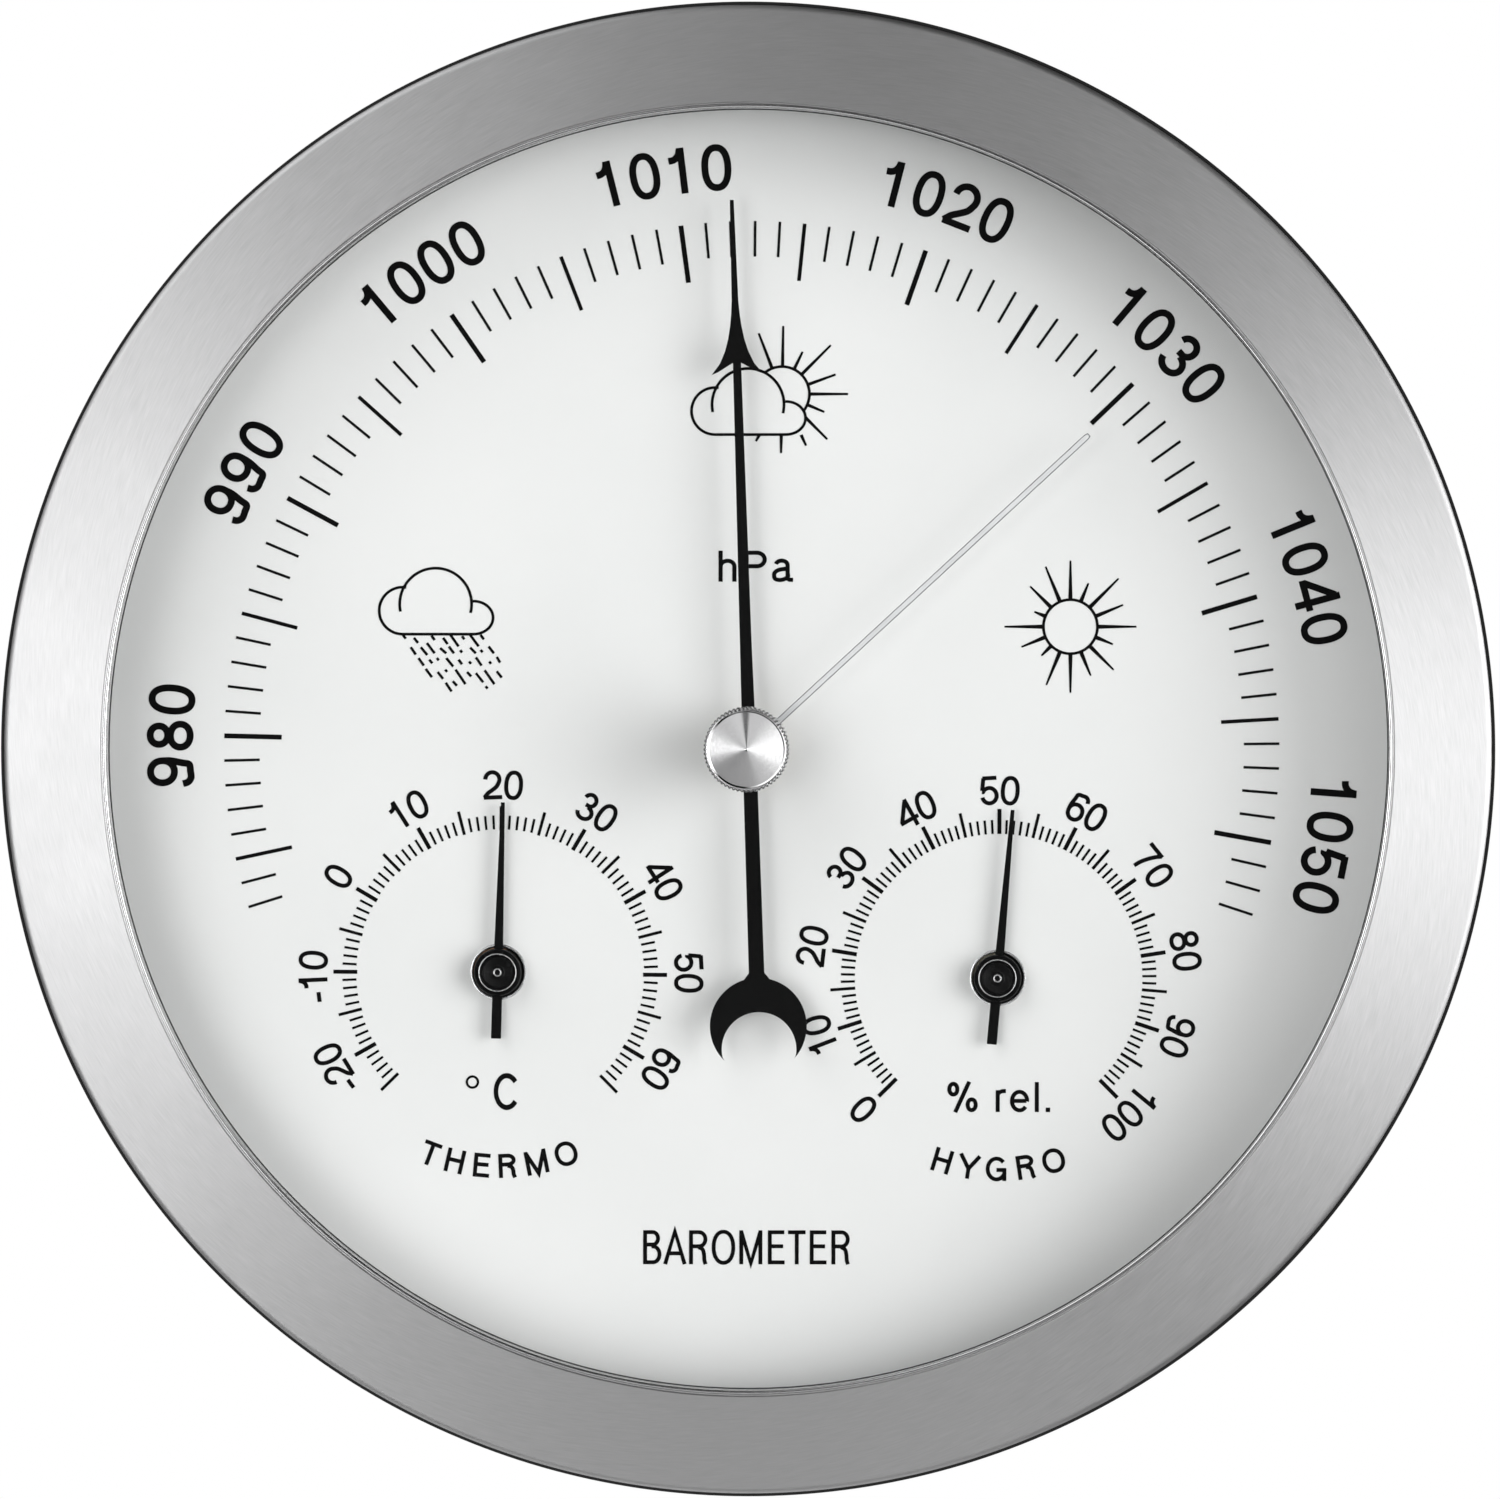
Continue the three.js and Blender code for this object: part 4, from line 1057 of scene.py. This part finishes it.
# ================================================ rear cover
# three flat layers and a rounded rim, so that the recesses for the hanger and the screw
# heads have clean floors
COVER_R = 60.2
FACE_DEPTH, MIDDLE_DEPTH, COVER_DEPTH = -0.95, -1.5, -3.0
VENT_FIELD_R = 9        # the slots of one group end on this circle
VENT_PITCH = 3.6
VENT_HALF = 0.9
RIVET_X, RIVET_Z = 10, 49.2
COVER_SCREWS = [centre_xz(f"cover_screw_{i}") for i in range(1, 5)]
FRAME_SCREWS = [centre_xz(f"movement_screw_{i}") for i in range(1, 4)]

seat_lo, seat_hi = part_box("hanger_plate")
SEAT_X0, SEAT_X1, SEAT_Z0, SEAT_Z1 = (v / MM for v in (seat_lo.x, seat_hi.x,
                                                       seat_lo.z, seat_hi.z))


def vent(cx, cz, offset):
    """One level slot with round ends, offset above the centre of its group."""
    reach = math.sqrt(VENT_FIELD_R ** 2 - offset ** 2) - VENT_HALF
    return (arc(cx + reach, cz + offset, VENT_HALF, VENT_HALF, -90, 90, 10)
            + arc(cx - reach, cz + offset, VENT_HALF, VENT_HALF, 90, 270, 10))


def cover_layer(name, y0, y1, holes, **options):
    return plate(name, circle(0, 0, COVER_R, 256), holes, y0, y1, PLASTIC, smooth=False,
                 **options)


def round_rear_edges(mesh, width):
    """Rounds the edges of the openings on the rear face, but not the outer edge."""
    with editing(mesh) as bm:
        dissolve_flat(bm)
        rear = max(v.co.y for v in bm.verts)
        edges = [e for e in bm.edges
                 if all(v.co.y > rear - 1e-6 for v in e.verts)
                 and any(abs(f.normal.y) < 0.5 for f in e.link_faces)
                 and all(math.hypot(v.co.x, v.co.z) < (COVER_R - 0.1) * MM for v in e.verts)]
        bmesh.ops.bevel(bm, geom=edges, offset=width * MM, offset_type="OFFSET", segments=2,
                        profile=0.5, affect="EDGES", clamp_overlap=False)


head_seats = [circle(*c, 2.5, 40) for c in COVER_SCREWS] + [circle(*c, 2.7, 40)
                                                            for c in FRAME_SCREWS]
bores = [circle(*c, 1.3, 32) for c in COVER_SCREWS] + [circle(*c, 1.35, 32)
                                                       for c in FRAME_SCREWS]
through = [circle(*centre_xz("adjusting_screw"), 4.0, 56)]
through += [vent(*centre, k * VENT_PITCH) for centre in (THERMO, HYGRO) for k in range(-2, 3)]
rivet_holes = [circle(x, RIVET_Z, 1.05, 24) for x in (-RIVET_X, RIVET_X)]
behind_hanger = [rectangle(-4.6, 4.6, 44.6, 54.2)] + rivet_holes
hanger_seat = rectangle(SEAT_X0 - 0.2, SEAT_X1 + 0.2, SEAT_Z0 - 0.2, SEAT_Z1 + 0.2)

cover_face = cover_layer("back_cover_face", 0, FACE_DEPTH,
                         [hanger_seat] + head_seats + through, replaces="rear_cover")
round_rear_edges(cover_face.data, 0.12)
cover_layer("back_cover_middle", FACE_DEPTH, MIDDLE_DEPTH, behind_hanger + head_seats + through)
cover_layer("back_cover_inner", MIDDLE_DEPTH, COVER_DEPTH, behind_hanger + bores + through)
lathe("back_cover_rim", fillet([
    (COVER_R, 0), (61.45, 0, 0.9), (61.45, COVER_DEPTH, 0.25), (COVER_R, COVER_DEPTH),
], 6), 256, PLASTIC)

# bosses on the inner side of the cover
for i, centre in enumerate(FRAME_SCREWS):
    lathe(f"cover_boss_{i + 1}", fillet([
        (1.35, -2.9, 0), (1.35, -4.3, 0.1), (4.5, -4.3, 0.3), (4.5, -2.9, 0),
    ], 3), 40, PLASTIC, at=centre)


# ================================================ screws
def slotted_screw(name, node, head, shank, slot, turn, look=NICKEL, side=1, dome=0.25,
                  body="case"):
    """A screw with a slot cut across its head, which points to +Y (side 1) or -Y (side -1).

    head is (radius, top y, under y), shank is (radius, end y), slot is (width, depth).
    """
    centre = centre_xz(node)
    head_r, top, under = head
    shank_r, end = shank
    width, depth = slot
    ob = lathe(name, [
        (0, top), (head_r * 0.55, top - side * dome * 0.25),
        (head_r * 0.85, top - side * (dome * 0.7 + 0.02)), (head_r, top - side * (dome + 0.18)),
        (head_r, under), (shank_r, under), (shank_r, end + side * 0.3), (shank_r - 0.25, end),
        (0, end),
    ], 48, look, body=body, at=centre, replaces=node)
    verts = []
    for x in (-head_r * 1.2, head_r * 1.2):
        for y in sorted((top + side * 1.0, top - side * depth)):
            for corner in turn_xz([(x, -width / 2), (x, width / 2)], turn, centre):
                verts.append((corner[0], y, corner[1]))
    cut_with(ob, verts, [(0, 1, 3, 2), (4, 6, 7, 5), (0, 4, 5, 1), (2, 3, 7, 6),
                         (0, 2, 6, 4), (1, 5, 7, 3)])
    shade_smooth(ob.data, 30)


for i in range(4):
    slotted_screw(f"rear_screw_{i + 1}", f"cover_screw_{i + 1}", head=(2.2, -0.2, -1.4),
                  shank=(1.15, -6.5), slot=(0.5, 0.6), turn=20 + 47 * i)
for i in range(3):
    slotted_screw(f"frame_screw_{i + 1}", f"movement_screw_{i + 1}", head=(2.4, -0.2, -1.7),
                  shank=(1.15, -9.0), slot=(0.6, 0.65), turn=65 + 61 * i)
for i in range(3):
    slotted_screw(f"plate_screw_{i + 1}", f"top_plate_screw_{i + 1}", head=(2.2, -28.5, -27.1),
                  shank=(0.9, -23.0), slot=(0.5, 0.6), turn=10 + 73 * i, side=-1)
slotted_screw("zero_setting_screw", "adjusting_screw", head=(3.0, -2.4, -3.9),
              shank=(1.5, -6.5), slot=(0.8, 0.85), turn=0, look=BRASS, dome=0.0,
              body="zero_screw")

# ================================================ hanger with its keyhole
KEYHOLE_Z, KEYHOLE_R = 47.6, 3.8            # wide round part
KEYHOLE_TOP_Z, KEYHOLE_TOP_R = 52.0, 2.1    # end of the narrow part above it
HANGER_CORNER_R = 1.0

opening = math.degrees(math.asin(KEYHOLE_TOP_R / KEYHOLE_R))
keyhole = arc(0, KEYHOLE_Z, KEYHOLE_R, KEYHOLE_R, 90 + opening, 450 - opening, 40)
keyhole += arc(0, KEYHOLE_TOP_Z, KEYHOLE_TOP_R, KEYHOLE_TOP_R, 0, 180, 20)

left, right = SEAT_X0 + HANGER_CORNER_R, SEAT_X1 - HANGER_CORNER_R
bottom, top = SEAT_Z0 + HANGER_CORNER_R, SEAT_Z1 - HANGER_CORNER_R
hanger_outline = []
for i, (x, z) in enumerate(((right, top), (left, top), (left, bottom), (right, bottom))):
    hanger_outline += arc(x, z, HANGER_CORNER_R, HANGER_CORNER_R, 90 * i, 90 * i + 90, 6)
hanger = plate("hanger", hanger_outline, [keyhole] + rivet_holes, -0.9, -0.1, STEEL_PLATE,
               replaces="hanger_plate")
bevel(hanger, width=0.1, angle=60)

for i, x in enumerate((-RIVET_X, RIVET_X)):
    lathe(f"rivet_{i + 1}", fillet([
        (0, -0.03), (0.9, -0.06, 0.2), (1.25, -0.3, 0.1), (0.98, -0.35), (0.98, -3.1),
        (1.9, -3.1, 0.1), (1.9, -3.4, 0.3), (0, -3.7),
    ], 3), 32, NICKEL, at=(x, RIVET_Z), replaces=f"hanger_rivet_{i + 1}")

# ================================================ main hand
# right half of the hand from its tip down past the barbed head to the tail: (x, z)
HAND_BLADE = [
    (0.16891, 48.67275), (0.24003, 42.672), (0.29337, 39.7383), (0.37338, 38.5826),
    (0.49784, 37.5158), (0.7112, 36.3601), (1.03124, 35.24885), (1.5113, 34.18205),
    (2.28473, 33.20415), (1.73355, 33.4264), (1.1557, 33.76422), (0.64008, 34.06648),
    (0.3556, 34.2265), (0.37338, 32.7152), (0.43561, 21.336), (0.49784, 9.6012),
    (0.57785, 3.8227), (0.63119, -3.8227), (0.65786, -14.224), (0.68453, -19.9136),
]
# the tail ends in a crescent between two circles
CRESCENT_OUTER_Z, CRESCENT_OUTER_R = -24.64308, 4.29387
CRESCENT_INNER_Z, CRESCENT_INNER_R = -26.71445, 3.31597
CRESCENT_START = (0.8001, -20.40255)
CRESCENT_HORN = (3.16484, -27.559)


def main_hand_outline():
    horn_x, horn_z = CRESCENT_HORN
    start_x, start_z = CRESCENT_START
    outer_from = math.degrees(math.atan2(start_z - CRESCENT_OUTER_Z, start_x))
    outer_to = math.degrees(math.atan2(horn_z - CRESCENT_OUTER_Z, horn_x))
    inner_from = math.degrees(math.atan2(horn_z - CRESCENT_INNER_Z, horn_x))
    right = HAND_BLADE + arc(0, CRESCENT_OUTER_Z, CRESCENT_OUTER_R, CRESCENT_OUTER_R,
                             outer_from, outer_to, 26)[1:-1]
    right += [(horn_x + 0.02667, horn_z + 0.05334), (horn_x - 0.05334, horn_z - 0.05334)]
    right += arc(0, CRESCENT_INNER_Z, CRESCENT_INNER_R, CRESCENT_INNER_R,
                 inner_from, 90, 20)[1:-1]
    middle = (0, CRESCENT_INNER_Z + CRESCENT_INNER_R)
    return right + [middle] + [(-x, z) for x, z in reversed(right)]


def hand(name, outline, hub_r, bore_r, y0, y1, deg, look, body, node, at=(0, 0), edge=0):
    """A flat hand with a round hub and a bore; edge is the width of its rounding."""
    points, tris = flat_union([outline, circle(0, 0, hub_r, 48)])
    # a second triangulation takes in the outline of the bore, which is then left open
    n = len(points)
    bore_edges = [(n + i, n + (i + 1) % 32) for i in range(32)]
    points = [Vector(p) for p in points + circle(0, 0, bore_r, 32)]
    found = delaunay_2d_cdt(points, bore_edges, tris, 0, 1e-6)
    flat = [(p.x, p.y) for p in found[0]]
    kept = [list(t) for t, source in zip(found[2], found[5])
            if source and math.hypot(*centre_of([flat[i] for i in t])) >= bore_r * 0.985]
    ob = make(name, *extrude(turn_xz(flat, deg, at), kept, y0, y1), look, body, node)
    with editing(ob.data) as bm:
        dissolve_flat(bm)
    if edge:
        bevel(ob, edge, angle=40)
    return ob


hand("pressure_hand", main_hand_outline(), hub_r=3.0, bore_r=0.95, y0=-33.6, y1=-34.0,
     deg=POINTER_DEG, look=BLACK_HAND, body="pointer_train", node="baro_pointer", edge=0.05)
lathe("pressure_hand_hub", fillet([
    (0.95, -32.4), (2.2, -32.4, 0.15), (2.2, -33.5, 0.1), (0.95, -33.5),
], 3), 48, BRASS, body="pointer_train", replaces="pointer_hub")

# ================================================ small hands
SMALL_TAIL = 5.9
# profiles of (radius, y)
CAP_PROFILE = [
    (0, -32.75), (0.42, -32.75), (0.44, -32.98), (0.50, -33.03), (0.70, -33.04),
    (1.18, -33.01), (1.28, -32.99), (1.36, -33.01), (1.42, -33.08), (1.50, -33.155),
    (1.60, -33.19), (1.70, -33.17), (1.78, -33.10), (1.84, -33.04), (1.95, -32.99),
    (2.05, -32.90), (2.1, -32.78), (2.1, -32.3), (0.62, -32.3), (0.62, -32.6), (0, -32.6)]
CAP_EDGE_PROFILE = [(1.60, -33.10), (1.60, -33.20), (1.63, -33.215), (1.66, -33.215),
                    (1.69, -33.20), (1.69, -33.10)]
PIN_PROFILE = [(0.22, -32.7), (0.22, -33.10), (0.26, -33.15), (0.31, -33.17), (0.36, -33.15),
               (0.40, -33.08), (0.40, -32.7)]
EYELET_PROFILE = fillet([(2.28, -30.6), (2.28, -31.12, 0.05), (2.50, -31.12, 0.05),
                         (2.50, -30.95, 0.03), (2.38, -30.95), (2.38, -30.6)], 3)

for prefix, centre, deg, tip in (("thermo", THERMO, THERMO_DEG, 15.1),
                                 ("hygro", HYGRO, HYGRO_DEG, 15.0)):
    body = f"{prefix}_hand"
    outline = mirrored([(0.17, tip), (0.19, tip - 0.8), (0.40, 2.0), (0.44, -2.0),
                        (0.445, -SMALL_TAIL + 0.06), (0.40, -SMALL_TAIL)])
    hand(f"{prefix}_reading_hand", outline, hub_r=1.5, bore_r=0.62, y0=-31.9, y1=-32.2,
         deg=deg, look=BLACK_HAND, body=body, node=f"{prefix}_pointer", at=centre, edge=0.04)
    lathe(f"{prefix}_cap", CAP_PROFILE, 96, CAP_GLOSS, body=body, at=centre,
          replaces=f"{prefix}_hub_cap", sharp=60)
    lathe(f"{prefix}_cap_edge", CAP_EDGE_PROFILE, 96, NICKEL, body=body, at=centre, sharp=80)
    lathe(f"{prefix}_pivot_pin", PIN_PROFILE, 40, NICKEL, body=body, at=centre, sharp=80)
    # turned eyelet round the dial hole
    lathe(f"{prefix}_eyelet", EYELET_PROFILE, 72, NICKEL, at=centre)

# ================================================ set hand and knob
SET_BODY = "set_hand_knob"
marker_strip = [(-0.27, 0), (0.27, 0), (0.27, 40.7), (0.18, 41.0), (-0.18, 41.0), (-0.27, 40.7)]
marker = hand("marker_hand", marker_strip, hub_r=2.6, bore_r=0.95, y0=-35.2, y1=-35.5,
              deg=SET_DEG, look=SILVER_HAND, body=SET_BODY, node="set_hand")
# the front edges are chamfered; all but the flat faces get the dark blued steel, painted shade
# standing in for the dark reflections along the edges
marker.data.materials.append(BLUED_STEEL_AND_EDGE_SHADE.material)
with editing(marker.data) as bm:
    front = min(v.co.y for v in bm.verts)
    rim = [e for e in bm.edges
           if all(v.co.y < front + 1e-5 for v in e.verts) and len(e.link_faces) == 2
           and any(abs(f.normal.y) < 0.5 for f in e.link_faces)]
    bmesh.ops.bevel(bm, geom=rim, offset=0.11 * MM, offset_type="OFFSET", segments=1,
                    profile=0.5, affect="EDGES", clamp_overlap=True)
    bm.normal_update()
    for face in bm.faces:
        face.material_index = 0 if abs(face.normal.y) > 0.95 else 1
        face.smooth = False

lathe("marker_washer", fillet([
    (0.95, -35.6), (3.2, -35.6, 0.08), (3.2, -36.0, 0.08), (1.45, -36.0), (0.95, -35.9),
], 2), 64, NICKEL, body=SET_BODY, replaces="set_knob_washer")
lathe("marker_shaft", [
    (0, -34.8), (0.85, -34.8), (0.85, -36.05), (1.4, -36.05), (1.4, -39.05), (0, -39.05),
], 48, NICKEL, body=SET_BODY, replaces="set_knob_shaft")

KNURLS = 60
KNURL_FROM_R = 3.55
KNURL_DEPTH = 0.16
DISH_R, DISH_Y, DISH_SLOPE = 3.34, -43.64, 0.272    # edge of the dished face, and its fall
RING_STEP, RING_RELIEF = 0.0722, 0.0015             # turned rings on that face


def knurl(r, t):
    if r <= KNURL_FROM_R:
        return r
    wave = 0.5 + 0.5 * math.cos(KNURLS * t)
    return r - KNURL_DEPTH * (1 - wave ** 0.7)


knob_profile = fillet([
    (0.9, -39.1), (3.45, -39.1, 0.1), (3.8, -39.4, 0.1), (3.8, -43.34, 0.12),
    (3.62, -43.60, 0.05),
], 3)
knob_profile += [(3.52, -43.68), (3.44, -43.70), (3.38, -43.68)]
for i in range(46):
    r = DISH_R - i * RING_STEP
    knob_profile.append((r, DISH_Y + (DISH_R - r) * DISH_SLOPE + (RING_RELIEF if i % 2 else 0.0)))
knob_profile += [(0, knob_profile[-1][1] + 0.005), (0, -39.3), (0.9, -39.3)]
lathe("marker_knob", knob_profile, KNURLS * 8, STEEL_TURNED, body=SET_BODY,
      replaces="set_knob", sharp=60, radius_of=knurl)

# ================================================ frame pieces kept, with their finishes
FINISHES = {
    BRASS: ["movement_base_plate", "middle_plate", "top_plate", "capsule_lower",
            "capsule_upper", "capsule_mount_stud", "capsule_top_stud", "rocker_lift_arm",
            "rocker_fork_arm", "sector_gear", "pinion", "hairspring_collet",
            "hairspring_stud", "pillar_1", "pillar_2", "pillar_3"],
    BLUED_STEEL_AND_EDGE_SHADE: ["rocker_shaft", "sector_arbor", "pointer_arbor", "hairspring",
                 "thermo_arbor", "hygro_arbor"],
    PLASTIC: ["thermo_cup", "hygro_cup"],
    BIMETAL: ["thermo_coil"],
    HYGRO_STRIP: ["hygro_coil"],
}
look_of = {node: look for look, nodes in FINISHES.items() for node in nodes}
for node, ob in frame["nodes"].items():
    if ob.hide_render:
        continue
    material = look_of[node].material
    if not ob.material_slots:
        ob.data.materials.append(material)
    for slot in ob.material_slots:
        slot.material = material
    shade_smooth(ob.data, 40)

# ================================================ floor
FLOOR_HALF, FLOOR_Z = 3, -0.25      # metres
mesh = bpy.data.meshes.new("studio_floor")
mesh.from_pydata([(x, z, FLOOR_Z) for x, z in rectangle(-FLOOR_HALF, FLOOR_HALF,
                                                        -FLOOR_HALF, FLOOR_HALF)],
                 [], [(0, 1, 2, 3)])
floor = bpy.data.objects.new("studio_floor", mesh)
SCENE.collection.objects.link(floor)
pale = Look("pale_floor")
pale.set(Base_Color=(0.86, 0.86, 0.86, 1), Roughness=0.9, Emission_Color=(1, 1, 1, 1),
         Emission_Strength=0.35)
# clear from below
pale.feed(pale.surface, pale.blend_shaders(
    pale.node("ShaderNodeNewGeometry").outputs["Backfacing"], pale.shader.outputs[0],
    pale.node("ShaderNodeBsdfTransparent").outputs[0]))
mesh.materials.append(pale.material)
floor.visible_diffuse = False
floor.visible_glossy = False
floor.visible_transmission = False
floor.visible_shadow = False

# ================================================ studio light
# A tent of light round the -Y axis. Each row is one band of angles off that axis; its
# values go round it from the right (+X) anticlockwise, 15 degrees apart.
BANDS = [
    [0.03] * 24,
    [3.49, 1.41, 0.0, 0.0, 0.0, 0.0, 0.0, 0.0, 0.0, 0.45, 2.64, 4.79,
     5.69, 5.28, 3.83, 2.19, 1.26, 1.05, 1.24, 0.9, 0.0, 0.0, 1.25, 3.44],
    [6.27, 5.77, 2.33, 0.0, 0.0, 0.0, 0.0, 1.09, 2.32, 2.15, 1.87, 0.94,
     0.1, 0.0, 0.0, 0.0, 0.0, 0.0, 0.0, 0.23, 0.0, 0.0, 1.17, 4.17],
    [0.0, 0.0, 0.0, 0.0, 0.0, 0.0, 0.0, 0.3, 0.51, 0.45, 0.25, 0.04,
     0.0, 0.0, 0.19, 0.57, 0.98, 1.24, 1.24, 0.94, 0.44, 0.04, 0.0, 0.0],
    [0.1] * 24,
    [1.3] * 24,
]
# degrees off the axis over which each band gives way to the next
BAND_EDGES = [(6, 12), (28, 42), (60, 78), (100, 112), (146, 158)]
# one narrow ring of the tent is what the dished, polished face of the knob looks into
KNOB_RISE, KNOB_FALL = (27.3, 28.4), (32.5, 33.6)
KNOB_ROW = [0.74, 0.53, 0.63, 0.61, 0.6, 0.6, 0.6, 0.61, 0.79, 0.83, 0.85, 1.11,
            1.06, 1.13, 1.06, 0.98, 0.91, 0.93, 0.99, 1.02, 1.02, 1.01, 0.96, 0.83]
# narrow sectors of that ring that show on the knob as spokes: (direction, half width,
# depth); a negative depth brightens
KNOB_SPOKES = ((268, 6.0, 0.94), (359, 2.2, 0.22), (343, 2.0, 0.18), (186, 3.0, -0.28))

world = bpy.data.worlds.new("studio")
world.use_nodes = True
SCENE.world = world
tent = Nodes(world.node_tree)
tent.tree.nodes.clear()

split = tent.node("ShaderNodeSeparateXYZ")
tent.feed(split.inputs[0], tent.node("ShaderNodeTexCoord").outputs["Generated"])
dir_x, dir_y, dir_z = split.outputs[0], split.outputs[1], split.outputs[2]
# turn about the axis: 0 at +X, rising towards +Z, 1 for the full circle
turn = tent.math("DIVIDE", tent.math("ARCTAN2", dir_z, dir_x), 2 * math.pi)
turn = tent.math("FRACT", tent.math("ADD", turn, 1.0))
forward = tent.math("MINIMUM", tent.math("MULTIPLY", dir_y, -1.0), 1.0)
off_axis = tent.math("ARCCOSINE", tent.math("MAXIMUM", forward, -1.0))


def smooth_step(value, span, to=(0.0, 1.0)):
    return tent.remap(value, to, span, "SMOOTHSTEP")


def off_axis_step(span_deg, to=(0.0, 1.0)):
    return smooth_step(off_axis, [math.radians(deg) for deg in span_deg], to)


def row_light(row, name):
    """A row of values round the tent, as a node output."""
    peak = max(max(row), 1e-6)
    ramp = tent.node("ShaderNodeValToRGB", name=name)
    ramp.color_ramp.interpolation = "LINEAR"
    stops = ramp.color_ramp.elements
    stops[0].position, stops[1].position = 0.0, 1.0
    stops[0].color = stops[1].color = (row[0] / peak,) * 3 + (1,)
    for i in range(1, len(row)):
        stops.new(i / len(row)).color = (row[i] / peak,) * 3 + (1,)
    tent.feed(ramp.inputs[0], turn)
    return tent.math("MULTIPLY", ramp.outputs[0], peak)


band_steps = [off_axis_step(span) for span in BAND_EDGES]
total = None
for i, row in enumerate(BANDS):
    weight = band_steps[i - 1] if i else None
    if i < len(band_steps):
        rest = tent.math("SUBTRACT", 1.0, band_steps[i])
        weight = tent.math("MULTIPLY", weight, rest) if i else rest
    part = tent.math("MULTIPLY", row_light(row, f"band_{i}"), weight)
    part.node.name = f"part_{i}"
    total = tent.math("ADD", total, part) if i else part

knob_light = row_light(KNOB_ROW, "knob_row")
for direction, half, depth in KNOB_SPOKES:
    away = tent.math("ABSOLUTE", tent.math("SUBTRACT", turn, direction / 360))
    spoke = smooth_step(away, (half * 0.5 / 360, half * 1.3 / 360), (1.0 - depth, 1.0))
    knob_light = tent.math("MULTIPLY", knob_light, spoke)
ring = tent.math("MULTIPLY", off_axis_step(KNOB_RISE), off_axis_step(KNOB_FALL, (1.0, 0.0)))
total = tent.math("ADD", tent.math("MULTIPLY", total, tent.math("SUBTRACT", 1.0, ring)),
                  tent.math("MULTIPLY", knob_light, ring))


def background(strength):
    node = tent.node("ShaderNodeBackground")
    node.inputs["Color"].default_value = (1, 1, 1, 1)
    tent.feed(node.inputs["Strength"], strength)
    return node.outputs[0]


# the camera itself sees plain white
seen = tent.blend_shaders(tent.node("ShaderNodeLightPath").outputs["Is Camera Ray"],
                          background(total), background(1.0))
tent.feed(tent.node("ShaderNodeOutputWorld").inputs["Surface"], seen)

SCENE.view_settings.view_transform = "Standard"
SCENE.view_settings.look = "None"
SCENE.view_settings.exposure = 0.0
SCENE.view_settings.gamma = 1.0

# ================================================ camera (metres)
DISTANCE = 1.5
HALF_FIELD = 0.06625        # half the width seen at that distance
SENSOR_WIDTH = 36.0
AIM = Vector((0.00023, -0.040, -0.00003))
SIDE, RISE = 0.042, 0.014   # the camera stands a little to the right and above

lens = bpy.data.cameras.new("camera")
lens.sensor_fit = "HORIZONTAL"
lens.sensor_width = SENSOR_WIDTH
lens.lens = SENSOR_WIDTH / 2 / (HALF_FIELD / DISTANCE)
lens.clip_start = 0.05
lens.clip_end = 20.0
camera = bpy.data.objects.new("camera", lens)
back_off = math.sqrt(DISTANCE ** 2 - SIDE ** 2 - RISE ** 2)
camera.location = (AIM.x + SIDE, AIM.y - back_off, AIM.z + RISE)
camera.rotation_euler = (AIM - camera.location).to_track_quat("-Z", "Y").to_euler()
SCENE.collection.objects.link(camera)
SCENE.camera = camera
